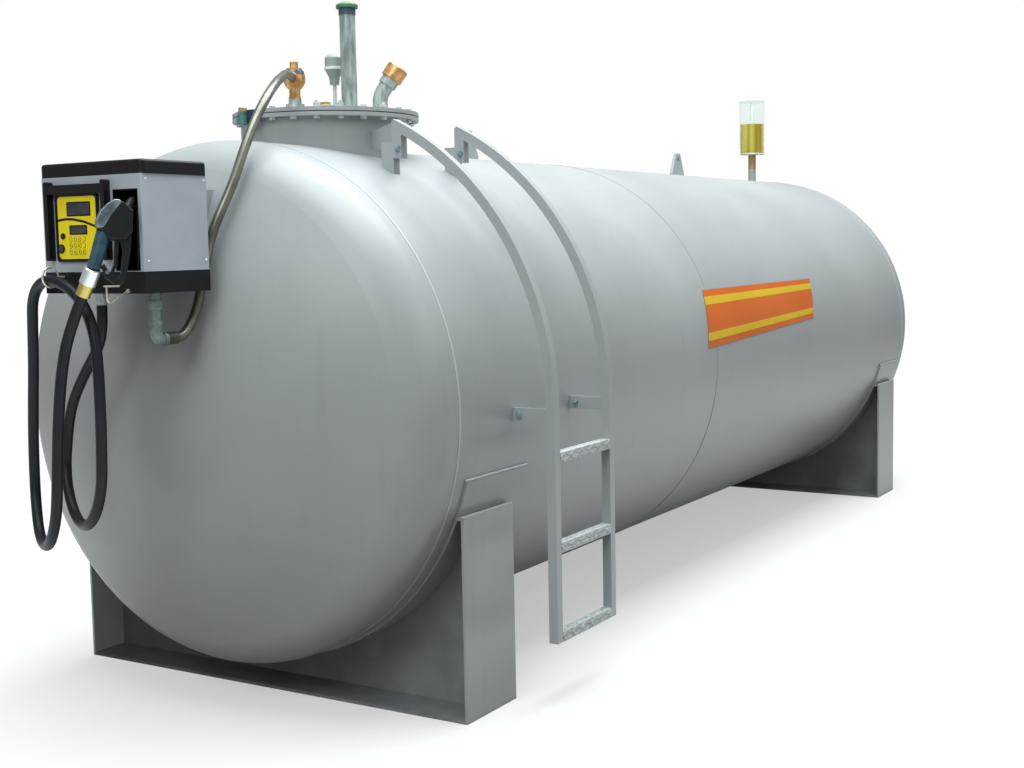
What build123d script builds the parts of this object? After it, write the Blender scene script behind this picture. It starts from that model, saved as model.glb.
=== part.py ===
"""Horizontal double-walled steel tank on two saddles, with manhole fittings, ladder and dispenser.

Millimetres. The origin is on the ground under the middle of the front saddle, +X runs along the
tank towards the rear, the ladder is on the -Y side, and +Z is up.
"""
import math
import os
from build123d import *

os.makedirs("parts", exist_ok=True)

# Tank body
tank_radius = 800.0
wall = 8.0
ground_clearance = 115.0
saddle_spacing = 4066.0
shell_overhang = 190.0
front_course_length = 1862.0
crown_radius = 1600.0
knuckle_radius = 160.0
straight_flange = 40.0
seat_gap = 0.3
bead_height = 1.5
bead_width = 8.0

# Saddles
saddle_length = 276.0
saddle_toe = 15.0
saddle_drop = 306.0
saddle_plate = 8.0
saddle_base_plate = 10.0
saddle_weld = 8.0
pad_spans = {"front": (-128.0, 212.0), "rear": (-145.0, 180.0)}
pad_thickness = 8.0
pad_top_angle = 14.4

# Manhole
manhole_x = 250.0
neck_radius = 266.0
neck_wall = 8.0
neck_inside_depth = 70.0
neck_rise = 82.0
flange_radius = 304.0
flange_offset = (7.0, -9.0)
flange_thickness = 12.0
gasket_radius = 291.0
gasket_thickness = 3.0
lid_thickness = 12.0

# Fittings on the manhole lid, placed from the manhole centre
vent_place = (56.0, -70.0)
vent_radius = 26.0
vent_wall = 3.0
vent_height = 344.0
vent_socket_radius = 33.0
vent_socket_height = 28.0
vent_sleeve_radius = 28.0
vent_sleeve_height = 21.0
vent_cap_radius = 36.0
vent_cap_height = 23.0
vent_cap_dome = 12.0
fill_place = (118.0, -149.0)
fill_radius = 25.0
fill_wall = 3.5
fill_rise = 40.0
fill_bend_radius = 70.0
fill_bend_angle = 35.0
fill_straight = 66.0
fill_collar_radius = 30.0
fill_collar_length = 26.0
fill_cap_radius = 36.0
fill_cap_height = 44.0
fill_cap_overlap = 22.0
gauge_place = (74.0, 4.0)
gauge_stem_radius = 6.5
gauge_stem_height = 104.0
gauge_radius = 31.0
gauge_cone_height = 54.0
gauge_body_height = 50.0
gauge_dome = 16.0
plug_place = (-24.0, -32.0)
plug_radius = 35.0
plug_height = 38.0
valve_place = (-54.0, 70.0)
valve_radius = 36.0
valve_port_height = 118.0
valve_neck_radius = 18.0
valve_foot_radius = 30.5
valve_foot_height = 51.0
valve_union_radius = 21.0
valve_head_height = 172.0
valve_hex_radius = 14.0
valve_hex_height = 24.0
valve_port_turn = 29.0
socket_angle = 165.0
socket_radius = 19.0
socket_height = 54.0
socket_drop = 19.0

# Ladder
ladder_x = 280.0
stringer_pitch = 350.0
stringer_size = 30.0
ladder_standoff = 119.0
ladder_bottom = 205.0
leg_place = 397.0
leg_length = 120.0
tread_count = 3
tread_first = 220.0
tread_pitch = 270.0
tread_depth = 34.0
tread_height = 30.0
tread_sheet = 3.0
foot_side = 45.0
foot_back = 32.0
foot_sheet = 5.0
foot_drop = 69.0
foot_back_drop = 6.0
tie_drop = 30.0
tie_depth = 40.0
tie_sheet = 5.0
brace_sheet = 8.0
brace_neck_turn = 106.0
brace_neck_span = (-94.0, -48.0)
brace_leg_span = (-107.0, -5.0)
brace_leg_inset = 22.0

# Lifting lugs
lug_first_x = 1124.0
lug_pitch = 1937.0
lug_base = 140.0
lug_top = 46.0
lug_height = 110.0
lug_sheet = 15.0
lug_foot = 12.0
lug_hole = 16.0
lug_eye_height = 79.0

# Leak indicator
leak_x = 4076.0
standpipe_radius = 21.0
standpipe_height = 150.0
vessel_radius = 68.0
vessel_height = 283.0
vessel_wall = 3.0
vessel_cap = 6.0
fluid_height = 160.0
vessel_tube_radius = 9.0

# Dispenser
cabinet_front_x = -782.0
cabinet_depth = 245.0
cabinet_width = 380.0
cabinet_y = -22.0
cabinet_bottom = 1277.0
base_height = 58.0
housing_height = 257.0
cabinet_lid_height = 38.0
cabinet_sheet = 2.0
lid_overhang = 4.0
holster_width = 92.0
holster_height = 216.0
holster_depth = 100.0
holster_sheet = 2.5
holster_y = -152.0
holster_z = 1445.0
panel_width = 162.0
panel_height = 182.0
panel_thickness = 9.0
panel_y = 27.0
panel_z = 1454.0
panel_corner = 10.0
displays = [(16.0, 1505.0, 92.0, 39.0), (20.0, 1449.0, 69.0, 26.0)]
display_recess = 2.0
keys_place = (26.5, 1406.5)
key_pitch_y = 17.0
key_pitch_z = 17.5
key_size = 11.0
key_corner = 3.0
key_rise = 1.5
knob_place = (79.0, 1433.0)
knob_radius = 8.0
knob_rise = 4.0
reader_place = (87.0, 1399.0)
reader_radius = 12.0
hood_width = 234.0
hood_height = 214.0
hood_bar = 15.0
hood_depth = 22.0
hood_band = 24.0
hood_y = 20.0
hood_top_z = 1580.0
bracket_width = 300.0
bracket_height = 230.0
bracket_sheet = 6.0
bracket_bottom = 1330.0

# Dispensing hose and its hook
hose_radius = 15.0
outlet_place = (-670.0, 75.0)
outlet_length = 37.0
outlet_radius = 20.0
hook_centre = (-830.0, 94.0, 1322.5)
hook_radius = 27.0
hook_wire = 3.0

# Nozzle
brass_length = 34.0
brass_step = 4.0
nut_length = 44.0
nut_radius = 22.0
nut_chamfer = 3.0
grip_foot_radius = 15.0
grip_top_radius = 18.0
nozzle_body_thickness = 44.0
nozzle_edge = 5.0
guard_width = 16.0
lever_width = 10.0
spout_radius = 11.0
rest_length = 40.0
rest_width = 22.0
rest_sheet = 4.0
rest_drop = 52.0
rest_wire = 2.5
rest_flange = 6.0
rest_y = -150.0
rest_z = 1284.0

# Suction pipe
pipe_radius = 14.0
pipe_lead = 95.0
inlet_place = (-702.0, -163.0)
inlet_radius = 17.0
inlet_nut_radius = 24.0
inlet_nut_drop = 22.0
inlet_nut_height = 24.0
inlet_ring_drop = 76.0
inlet_ring_height = 12.0
elbow_bend = 20.0
elbow_tail = 12.0
elbow_height = 1150.0

shell_start = -shell_overhang
shell_end = saddle_spacing + shell_overhang
course_joint = shell_start + front_course_length
inner_radius = tank_radius - wall
axis_height = tank_radius + ground_clearance
pad_radius = tank_radius + seat_gap + pad_thickness
pad_half_width = math.sqrt(pad_radius**2 - saddle_drop**2)
saddle_width = 2 * (pad_half_width + saddle_toe + saddle_plate)
saddle_height = axis_height - saddle_drop
neck_top_height = axis_height + tank_radius + neck_rise
lid_top = neck_top_height + flange_thickness + gasket_thickness + lid_thickness
tank_axis = Axis((0, 0, axis_height), (1, 0, 0))


def dish_points(seam_x, outward, inset):
    """Points of a torispherical end: rim, flange, knuckle middle, tangent, crown middle, apex."""
    reach = math.sqrt((crown_radius - knuckle_radius) ** 2 - (tank_radius - knuckle_radius) ** 2)
    tangent = math.atan2(tank_radius - knuckle_radius, reach)
    knuckle_x = straight_flange
    knuckle_z = tank_radius - knuckle_radius
    crown_x = straight_flange - reach
    knuckle = knuckle_radius - inset
    crown = crown_radius - inset
    middle = (math.pi / 2 + tangent) / 2
    local = [
        (0.0, tank_radius - inset),
        (knuckle_x, tank_radius - inset),
        (knuckle_x + knuckle * math.cos(middle), knuckle_z + knuckle * math.sin(middle)),
        (knuckle_x + knuckle * math.cos(tangent), knuckle_z + knuckle * math.sin(tangent)),
        (crown_x + crown * math.cos(tangent / 2), crown * math.sin(tangent / 2)),
        (crown_x + crown, 0.0),
    ]
    return [(seam_x + outward * x, axis_height + z) for x, z in local]


def write(part, label):
    part.label = label
    export_step(part, f"parts/{label}.step")


# Shell courses: two rolled plates with a weld bead at each end, the front one cut for the neck
with BuildPart() as shell_front_course:
    with BuildSketch(Plane.YZ.offset(shell_start)):
        with Locations((0, axis_height)):
            Circle(tank_radius)
            Circle(inner_radius, mode=Mode.SUBTRACT)
    extrude(amount=front_course_length)
    for bead_x in (shell_start, course_joint - bead_width):
        with BuildSketch(Plane.YZ.offset(bead_x)):
            with Locations((0, axis_height)):
                Circle(tank_radius + bead_height)
                Circle(inner_radius, mode=Mode.SUBTRACT)
        extrude(amount=bead_width)
    with BuildSketch(Plane.XY.offset(axis_height)):
        with Locations((manhole_x, 0)):
            Circle(neck_radius + seat_gap)
    extrude(amount=tank_radius + wall, mode=Mode.SUBTRACT)
write(shell_front_course.part, "shell_front_course")

with BuildPart() as shell_rear_course:
    with BuildSketch(Plane.YZ.offset(course_joint)):
        with Locations((0, axis_height)):
            Circle(tank_radius)
            Circle(inner_radius, mode=Mode.SUBTRACT)
    extrude(amount=shell_end - course_joint)
    for bead_x in (course_joint, shell_end - bead_width):
        with BuildSketch(Plane.YZ.offset(bead_x)):
            with Locations((0, axis_height)):
                Circle(tank_radius + bead_height)
                Circle(inner_radius, mode=Mode.SUBTRACT)
        extrude(amount=bead_width)
write(shell_rear_course.part, "shell_rear_course")

# Dished ends: crown radius equal to the diameter, knuckle a tenth of it, short straight flange
for label, seam_x, outward in (("front_head", shell_start, -1), ("rear_head", shell_end, 1)):
    outer = dish_points(seam_x, outward, 0.0)
    inner = dish_points(seam_x, outward, wall)
    with BuildPart() as head:
        with BuildSketch(Plane.XZ):
            with BuildLine():
                Line(outer[0], outer[1])
                ThreePointArc(outer[1], outer[2], outer[3])
                ThreePointArc(outer[3], outer[4], outer[5])
                Line(outer[5], inner[5])
                ThreePointArc(inner[5], inner[4], inner[3])
                ThreePointArc(inner[3], inner[2], inner[1])
                Line(inner[1], inner[0])
                Line(inner[0], outer[0])
            make_face()
        revolve(axis=tank_axis)
    write(head.part, label)

# Saddles: base plate, side plates welded to the pad at the top, a cross web at mid length, pad
for place, saddle_x in (("front", 0.0), ("rear", saddle_spacing)):
    side_height = saddle_height - saddle_base_plate
    with BuildPart() as base:
        with BuildSketch():
            with Locations((saddle_x, 0)):
                Rectangle(saddle_length, saddle_width)
        extrude(amount=saddle_base_plate)
    write(base.part, f"{place}_saddle_base")

    for side, hand in (("left", 1), ("right", -1)):
        with BuildPart() as side_plate:
            with BuildSketch(Plane.XY.offset(saddle_base_plate)):
                with Locations((saddle_x, hand * (saddle_width - saddle_plate) / 2)):
                    Rectangle(saddle_length, saddle_plate)
            extrude(amount=side_height)
            inward = Align.MAX if hand > 0 else Align.MIN
            with BuildSketch(Plane.YZ.offset(saddle_x - saddle_length / 2)):
                with Locations((hand * (saddle_width / 2 - saddle_plate), saddle_height)):
                    Rectangle(saddle_width / 4, saddle_weld, align=(inward, Align.MAX))
                with Locations((0, axis_height)):
                    Circle(pad_radius + seat_gap, mode=Mode.SUBTRACT)
            extrude(amount=saddle_length)
        write(side_plate.part, f"{place}_saddle_{side}_plate")

    with BuildPart() as web:
        with BuildSketch(Plane.YZ.offset(saddle_x - saddle_plate / 2)):
            with Locations((0, saddle_base_plate)):
                Rectangle(
                    saddle_width - 2 * saddle_plate,
                    side_height - saddle_weld,
                    align=(Align.CENTER, Align.MIN),
                )
            with Locations((0, axis_height)):
                Circle(pad_radius + seat_gap, mode=Mode.SUBTRACT)
        extrude(amount=saddle_plate)
    write(web.part, f"{place}_saddle_web")

    with BuildPart() as pad:
        pad_edge_z = -pad_radius * math.sin(math.radians(pad_top_angle))
        pad_from, pad_to = pad_spans[place]
        with BuildSketch(Plane.YZ.offset(saddle_x + pad_from)):
            with Locations((0, axis_height)):
                Circle(pad_radius)
                Circle(tank_radius + seat_gap, mode=Mode.SUBTRACT)
            with Locations((0, axis_height + pad_edge_z)):
                Rectangle(3 * tank_radius, 3 * tank_radius, align=(Align.CENTER, Align.MIN), mode=Mode.SUBTRACT)
        extrude(amount=pad_to - pad_from)
    write(pad.part, f"{place}_saddle_pad")

# Manhole: neck through the shell, flange ring, gasket and blind lid
neck_bottom = axis_height + tank_radius - neck_inside_depth
with BuildPart() as manhole_neck:
    with BuildSketch(Plane.XY.offset(neck_bottom)):
        with Locations((manhole_x, 0)):
            Circle(neck_radius)
            Circle(neck_radius - neck_wall, mode=Mode.SUBTRACT)
    extrude(amount=neck_top_height - neck_bottom)
write(manhole_neck.part, "manhole_neck")

gasket_bottom = neck_top_height + flange_thickness
flange_centre = (manhole_x + flange_offset[0], flange_offset[1])
with BuildPart() as manhole_flange:
    with BuildSketch(Plane.XY.offset(neck_top_height)):
        with Locations(flange_centre):
            Circle(flange_radius)
        with Locations((manhole_x, 0)):
            Circle(neck_radius - neck_wall, mode=Mode.SUBTRACT)
    extrude(amount=flange_thickness)
write(manhole_flange.part, "manhole_flange")

with BuildPart() as manhole_gasket:
    with BuildSketch(Plane.XY.offset(gasket_bottom)):
        with Locations(flange_centre):
            Circle(gasket_radius)
        with Locations((manhole_x, 0)):
            Circle(neck_radius, mode=Mode.SUBTRACT)
    extrude(amount=gasket_thickness)
write(manhole_gasket.part, "manhole_gasket")

with BuildPart() as manhole_lid:
    with BuildSketch(Plane.XY.offset(gasket_bottom + gasket_thickness)):
        with Locations(flange_centre):
            Circle(flange_radius)
    extrude(amount=lid_thickness)
write(manhole_lid.part, "manhole_lid")


def dome_middle(rim, bottom, rise):
    """The point halfway along a domed cap's arc, whose centre lies on the axis."""
    radius = (rim * rim + rise * rise) / (2 * rise)
    half_turn = math.asin(min(1.0, rim / radius)) / 2
    return (radius * math.sin(half_turn), bottom + rise - radius + radius * math.cos(half_turn))


def on_lid(place):
    """Upright plane on top of the lid, at a place counted from the manhole centre."""
    return Plane(origin=(manhole_x + place[0], place[1], lid_top))


def turned(plane):
    """The upright half plane through the plane's axis, for a turned profile."""
    return Plane(origin=plane.origin, x_dir=plane.x_dir, z_dir=-plane.y_dir)


# Vent pipe in a screwed socket, with a sleeve and mushroom cap
vent_plane = on_lid(vent_place)
with BuildPart() as vent_pipe:
    with BuildSketch(vent_plane):
        Circle(vent_radius)
    extrude(amount=vent_height)
    with BuildSketch(vent_plane):
        Circle(vent_socket_radius)
    extrude(amount=vent_socket_height)
    with BuildSketch(vent_plane):
        Circle(vent_radius - vent_wall)
    extrude(amount=vent_height, mode=Mode.SUBTRACT)
write(vent_pipe.part, "vent_pipe")

with BuildPart() as vent_cap:
    sleeve_bottom = vent_height - vent_sleeve_height
    cap_rim_top = vent_height + vent_cap_height - vent_cap_dome
    with BuildSketch(turned(vent_plane)):
        with BuildLine():
            Polyline(
                (vent_radius + seat_gap, sleeve_bottom),
                (vent_sleeve_radius, sleeve_bottom),
                (vent_sleeve_radius, vent_height),
                (vent_cap_radius, vent_height),
                (vent_cap_radius, cap_rim_top),
            )
            ThreePointArc(
                (vent_cap_radius, cap_rim_top),
                dome_middle(vent_cap_radius, cap_rim_top, vent_cap_dome),
                (0, vent_height + vent_cap_height),
            )
            Polyline(
                (0, vent_height + vent_cap_height),
                (0, vent_height + seat_gap),
                (vent_radius + seat_gap, vent_height + seat_gap),
                (vent_radius + seat_gap, sleeve_bottom),
            )
        make_face()
    revolve(axis=Axis(vent_plane.origin, (0, 0, 1)))
write(vent_cap.part, "vent_cap")

# Fill pipe: a bent tube leaning outwards, with a screwed brass cap
fill_plane = on_lid(fill_place)
lean = math.atan2(fill_place[1], fill_place[0])
fill_bend_plane = Plane(
    origin=fill_plane.origin,
    x_dir=(math.cos(lean), math.sin(lean), 0),
    z_dir=(math.sin(lean), -math.cos(lean), 0),
)
bend = math.radians(fill_bend_angle)
bend_end = (fill_bend_radius * (1 - math.cos(bend)), fill_rise + fill_bend_radius * math.sin(bend))
fill_end = (bend_end[0] + fill_straight * math.sin(bend), bend_end[1] + fill_straight * math.cos(bend))
with BuildPart() as fill_pipe:
    with BuildLine(fill_bend_plane) as fill_path:
        Line((0, 0), (0, fill_rise))
        RadiusArc((0, fill_rise), bend_end, fill_bend_radius)
        Line(bend_end, fill_end)
    with BuildSketch(fill_plane):
        Circle(fill_radius)
        Circle(fill_radius - fill_wall, mode=Mode.SUBTRACT)
    sweep(path=fill_path.line)
    fill_cap_plane = Plane(
        origin=fill_bend_plane.from_local_coords((fill_end[0], fill_end[1], 0)),
        z_dir=(math.cos(lean) * math.sin(bend), math.sin(lean) * math.sin(bend), math.cos(bend)),
    )
    with BuildSketch(fill_cap_plane.offset(-fill_cap_overlap - seat_gap)):
        Circle(fill_collar_radius)
        Circle(fill_radius - fill_wall, mode=Mode.SUBTRACT)
    extrude(amount=-fill_collar_length)
write(fill_pipe.part, "fill_pipe")

with BuildPart() as fill_cap:
    with BuildSketch(fill_cap_plane.offset(-fill_cap_overlap)):
        Circle(fill_cap_radius)
        Circle(fill_radius + seat_gap, mode=Mode.SUBTRACT)
    extrude(amount=fill_cap_overlap + seat_gap)
    with BuildSketch(fill_cap_plane.offset(seat_gap)):
        Circle(fill_cap_radius)
    extrude(amount=fill_cap_height - fill_cap_overlap)
    cap_axis = Axis(fill_cap_plane.origin, fill_cap_plane.z_dir)
    chamfer(fill_cap.edges().filter_by(GeomType.CIRCLE).sort_by(cap_axis)[-1], length=3)
write(fill_cap.part, "fill_cap")

# Level gauge: a turned float head on a thin stem
gauge_plane = on_lid(gauge_place)
with BuildPart() as level_gauge:
    cone_top = gauge_stem_height + gauge_cone_height
    gauge_rim_top = cone_top + gauge_body_height - gauge_dome
    with BuildSketch(turned(gauge_plane)):
        with BuildLine():
            Polyline(
                (0, 0),
                (gauge_stem_radius * 2, 0),
                (gauge_stem_radius * 2, gauge_stem_radius),
                (gauge_stem_radius, gauge_stem_radius),
                (gauge_stem_radius, gauge_stem_height),
                (gauge_radius * 0.5, gauge_stem_height),
                (gauge_radius * 0.58, gauge_stem_height + gauge_cone_height * 0.45),
                (gauge_radius, cone_top - 4),
                (gauge_radius + 2, cone_top - 4),
                (gauge_radius + 2, cone_top + 4),
                (gauge_radius, cone_top + 4),
                (gauge_radius, gauge_rim_top),
            )
            ThreePointArc(
                (gauge_radius, gauge_rim_top),
                dome_middle(gauge_radius, gauge_rim_top, gauge_dome),
                (0, gauge_rim_top + gauge_dome),
            )
            Line((0, gauge_rim_top + gauge_dome), (0, 0))
        make_face()
    revolve(axis=Axis(gauge_plane.origin, (0, 0, 1)))
write(level_gauge.part, "level_gauge")

# Spare connection in the lid, closed by a plug with a square
with BuildPart() as lid_plug:
    with BuildSketch(on_lid(plug_place)):
        Circle(plug_radius)
    extrude(amount=plug_height * 0.72)
    chamfer(lid_plug.faces().sort_by(Axis.Z)[-1].edges(), length=2)
    with BuildSketch(on_lid(plug_place).offset(plug_height * 0.72)):
        Rectangle(plug_radius * 0.7, plug_radius * 0.7)
    extrude(amount=plug_height * 0.28)
write(lid_plug.part, "lid_plug")

# Suction valve: turned brass body on a zinc foot, hexagon head, side port towards the pipe
valve_plane = on_lid(valve_place)
port_turn = math.radians(valve_port_turn)
port_plane = Plane(
    origin=(valve_plane.origin.X, valve_plane.origin.Y, lid_top + valve_port_height),
    z_dir=(-math.cos(port_turn), -math.sin(port_turn), 0),
)
valve_port_reach = valve_radius + 12
with BuildPart() as suction_valve:
    with BuildSketch(turned(valve_plane)):
        with BuildLine():
            Polyline(
                (0, valve_head_height - valve_hex_height),
                (0, valve_foot_height),
                (valve_neck_radius, valve_foot_height),
                (valve_neck_radius, valve_port_height - valve_radius),
            )
            ThreePointArc(
                (valve_neck_radius, valve_port_height - valve_radius),
                (valve_radius, valve_port_height),
                (valve_radius * 0.75, valve_port_height + valve_radius * 0.72),
            )
            Polyline(
                (valve_radius * 0.75, valve_port_height + valve_radius * 0.72),
                (valve_radius * 0.75, valve_head_height - valve_hex_height),
                (0, valve_head_height - valve_hex_height),
            )
        make_face()
    revolve(axis=Axis(valve_plane.origin, (0, 0, 1)))
    with BuildSketch(valve_plane.offset(valve_head_height - valve_hex_height)):
        RegularPolygon(valve_hex_radius, 6)
    extrude(amount=valve_hex_height)
    with BuildSketch(port_plane):
        Circle(pipe_radius + 5)
    extrude(amount=valve_port_reach)
write(suction_valve.part, "suction_valve")

with BuildPart() as valve_foot:
    with BuildSketch(valve_plane):
        RegularPolygon(valve_foot_radius, 8)
    extrude(amount=valve_foot_height * 0.7)
    with BuildSketch(valve_plane.offset(valve_foot_height * 0.7)):
        Circle(valve_union_radius)
    extrude(amount=valve_foot_height * 0.3)
write(valve_foot.part, "suction_valve_foot")

# Overfill sensor socket, clamped on the edge of the flange
socket_turn = math.radians(socket_angle)
socket_out = (math.cos(socket_turn), math.sin(socket_turn))
socket_reach = flange_radius + seat_gap + socket_radius
socket_plane = Plane(
    origin=(
        flange_centre[0] + socket_reach * socket_out[0],
        flange_centre[1] + socket_reach * socket_out[1],
        neck_top_height - socket_drop,
    ),
    x_dir=(socket_out[0], socket_out[1], 0),
)
with BuildPart() as sensor_socket:
    with BuildSketch(socket_plane):
        Circle(socket_radius)
    extrude(amount=socket_height * 0.55)
    with BuildSketch(socket_plane.offset(socket_height * 0.55)):
        RegularPolygon(socket_radius * 0.9, 6)
    extrude(amount=socket_height * 0.2)
    with BuildSketch(socket_plane.offset(socket_height * 0.75)):
        Circle(socket_radius * 0.72)
    extrude(amount=socket_height * 0.25)
    chamfer(sensor_socket.faces().sort_by(Axis.Z)[-1].edges(), length=3)
write(sensor_socket.part, "sensor_socket")

# Ladder stringers: square tube bent round the shell, a short leg down at the top, straight below
stringer_inner = tank_radius + ladder_standoff
stringer_outer = stringer_inner + stringer_size
stringer_middle = stringer_inner + stringer_size / 2
top_turn = math.acos(leg_place / stringer_outer)
inner_turn = math.acos((leg_place + stringer_size) / stringer_inner)
leg_top = axis_height + stringer_outer * math.sin(top_turn)
ladder_leg_y = -leg_place
stringer_places = {
    "front": ladder_x - stringer_pitch / 2,
    "rear": ladder_x + stringer_pitch / 2,
}


def on_ladder(radius, turn):
    """A point at a radius from the tank's axis, turned up from level on the ladder's side."""
    return (-radius * math.cos(turn), axis_height + radius * math.sin(turn))


stringers = {}
for place, stringer_x in stringer_places.items():
    with BuildPart() as stringer:
        with BuildSketch(Plane.YZ.offset(stringer_x - stringer_size / 2)):
            with BuildLine():
                ThreePointArc(
                    on_ladder(stringer_outer, top_turn),
                    on_ladder(stringer_outer, top_turn / 2),
                    on_ladder(stringer_outer, 0),
                )
                Polyline(
                    on_ladder(stringer_outer, 0),
                    (-stringer_outer, ladder_bottom),
                    (-stringer_inner, ladder_bottom),
                    on_ladder(stringer_inner, 0),
                )
                ThreePointArc(
                    on_ladder(stringer_inner, 0),
                    on_ladder(stringer_inner, inner_turn / 2),
                    on_ladder(stringer_inner, inner_turn),
                )
                Polyline(
                    on_ladder(stringer_inner, inner_turn),
                    (ladder_leg_y - stringer_size, leg_top - leg_length),
                    (ladder_leg_y, leg_top - leg_length),
                    on_ladder(stringer_outer, top_turn),
                )
            make_face()
        extrude(amount=stringer_size)
    write(stringer.part, f"ladder_{place}_stringer")
    stringers[place] = stringer.part

# Ladder treads: folded trays of chequer plate between the stringers
tread_length = stringer_pitch - stringer_size
for step in range(tread_count):
    with BuildPart() as tread:
        with BuildSketch(Plane.YZ.offset(ladder_x - tread_length / 2)):
            with Locations((-stringer_middle, tread_first + step * tread_pitch)):
                Rectangle(tread_depth, tread_height)
                with Locations((0, -tread_sheet)):
                    Rectangle(tread_depth - 2 * tread_sheet, tread_height, mode=Mode.SUBTRACT)
        extrude(amount=tread_length)
    write(tread.part, f"ladder_tread_{step + 1}")

# Feet of the ladder on the crown: an angle welded on the shell behind each leg
with BuildPart() as shell_form:
    with BuildSketch(Plane.YZ.offset(shell_start)):
        with Locations((0, axis_height)):
            Circle(tank_radius + seat_gap)
    extrude(amount=shell_end - shell_start)

for place, stringer_x in stringer_places.items():
    with BuildPart() as foot:
        foot_corner = (stringer_x - stringer_size / 2, ladder_leg_y + seat_gap)
        with BuildSketch(Plane.XY.offset(leg_top - foot_drop)):
            with Locations(foot_corner):
                Rectangle(foot_sheet, foot_side, align=(Align.MIN, Align.MIN))
        extrude(amount=-(leg_top - foot_drop - axis_height))
        with BuildSketch(Plane.XY.offset(leg_top - foot_back_drop)):
            with Locations(foot_corner):
                Rectangle(foot_back, foot_sheet, align=(Align.MIN, Align.MIN))
        extrude(amount=-(leg_top - foot_back_drop - axis_height))
        add(shell_form.part, mode=Mode.SUBTRACT)
    write(foot.part, f"ladder_{place}_foot")

# Ties from the shell to the stringers: a flat bar beside each stringer's inner face
for place, stringer_x in stringer_places.items():
    with BuildPart() as tie:
        with BuildSketch(Plane.YZ.offset(stringer_x - tie_sheet / 2)):
            with Locations((-stringer_inner, axis_height - tie_drop)):
                Rectangle(stringer_inner, tie_depth, align=(Align.MIN, Align.CENTER))
            with Locations((0, axis_height)):
                Circle(tank_radius + seat_gap, mode=Mode.SUBTRACT)
            with Locations((0, axis_height)):
                Rectangle(tank_radius, 2 * tank_radius, align=(Align.CENTER, Align.CENTER), mode=Mode.SUBTRACT)
        extrude(amount=tie_sheet)
        with BuildSketch(Plane.YZ.offset(stringer_x + tie_sheet / 2)):
            with Locations((-tank_radius - seat_gap, axis_height - tie_drop)):
                Rectangle(tie_depth * 1.3, tie_depth, align=(Align.MAX, Align.CENTER))
            with Locations((0, axis_height)):
                Circle(tank_radius + seat_gap, mode=Mode.SUBTRACT)
        extrude(amount=tie_sheet)
        add(stringers[place], mode=Mode.SUBTRACT)
    write(tie.part, f"ladder_{place}_tie")

# Brace: a gusset plate from the manhole neck to the foot behind the front stringer's leg
brace_turn = math.radians(brace_neck_turn)
brace_start = (manhole_x + neck_radius * math.cos(brace_turn), -neck_radius * math.sin(brace_turn))
brace_face = ladder_leg_y + foot_sheet + 2 * seat_gap
brace_end = (stringer_places["front"] - stringer_size / 2 + brace_leg_inset, brace_face)
brace_reach = math.dist(brace_start, brace_end)
brace_plane = Plane(
    origin=(brace_start[0], brace_start[1], neck_top_height),
    x_dir=(brace_end[0] - brace_start[0], brace_end[1] - brace_start[1], 0),
    z_dir=(brace_end[1] - brace_start[1], brace_start[0] - brace_end[0], 0),
)
leg_level = leg_top - neck_top_height
with BuildPart() as ladder_brace:
    with BuildSketch(brace_plane):
        Polygon(
            (-neck_wall, brace_neck_span[0]),
            (brace_reach + neck_wall, leg_level + brace_leg_span[0]),
            (brace_reach + neck_wall, leg_level + brace_leg_span[1]),
            (-neck_wall, brace_neck_span[1]),
            align=None,
        )
    extrude(amount=brace_sheet / 2, both=True)
    with BuildSketch(Plane.XY.offset(axis_height)):
        with Locations((manhole_x, 0)):
            Circle(neck_radius + seat_gap)
    extrude(amount=2 * tank_radius, mode=Mode.SUBTRACT)
    add(shell_form.part, mode=Mode.SUBTRACT)
    split(bisect_by=Plane(origin=(0, brace_face, 0), z_dir=(0, 1, 0)), keep=Keep.TOP)
write(ladder_brace.part, "ladder_brace")

# Lifting lugs: plates in line with the tank, an eye through each
for number, place in enumerate(("front", "rear")):
    lug_x = lug_first_x + number * lug_pitch
    lug_plane = Plane(
        origin=(lug_x, lug_sheet / 2, axis_height + tank_radius + seat_gap),
        x_dir=(1, 0, 0),
        z_dir=(0, -1, 0),
    )
    with BuildPart() as lug:
        with BuildSketch(lug_plane):
            with BuildLine():
                Polyline(
                    (-lug_base / 2, 0),
                    (lug_base / 2, 0),
                    (lug_base / 2, lug_foot),
                    (lug_top / 2, lug_height),
                    (-lug_top / 2, lug_height),
                    (-lug_base / 2, lug_foot),
                    close=True,
                )
            make_face()
            with Locations((0, lug_eye_height)):
                Circle(lug_hole, mode=Mode.SUBTRACT)
        extrude(amount=lug_sheet)
    write(lug.part, f"{place}_lifting_lug")

# Leak indicator: a standpipe on the crown with a glass vessel half full of test fluid
crown_height = axis_height + tank_radius
vessel_bottom = crown_height + standpipe_height
with BuildPart() as leak_standpipe:
    with BuildSketch(Plane.XY.offset(crown_height + seat_gap)):
        with Locations((leak_x, 0)):
            Circle(standpipe_radius)
    extrude(amount=standpipe_height - seat_gap)
    with BuildSketch(Plane.XY.offset(vessel_bottom)):
        with Locations((leak_x, 0)):
            Circle(vessel_radius)
    extrude(amount=vessel_cap)
    with BuildSketch(Plane.XY.offset(vessel_bottom + vessel_cap)):
        with Locations((leak_x, 0)):
            Circle(vessel_tube_radius)
    extrude(amount=vessel_height)
write(leak_standpipe.part, "leak_standpipe")

with BuildPart() as leak_vessel:
    with BuildSketch(Plane.XY.offset(vessel_bottom + vessel_cap)):
        with Locations((leak_x, 0)):
            Circle(vessel_radius)
            Circle(vessel_radius - vessel_wall, mode=Mode.SUBTRACT)
    extrude(amount=vessel_height)
write(leak_vessel.part, "leak_vessel")

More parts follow.
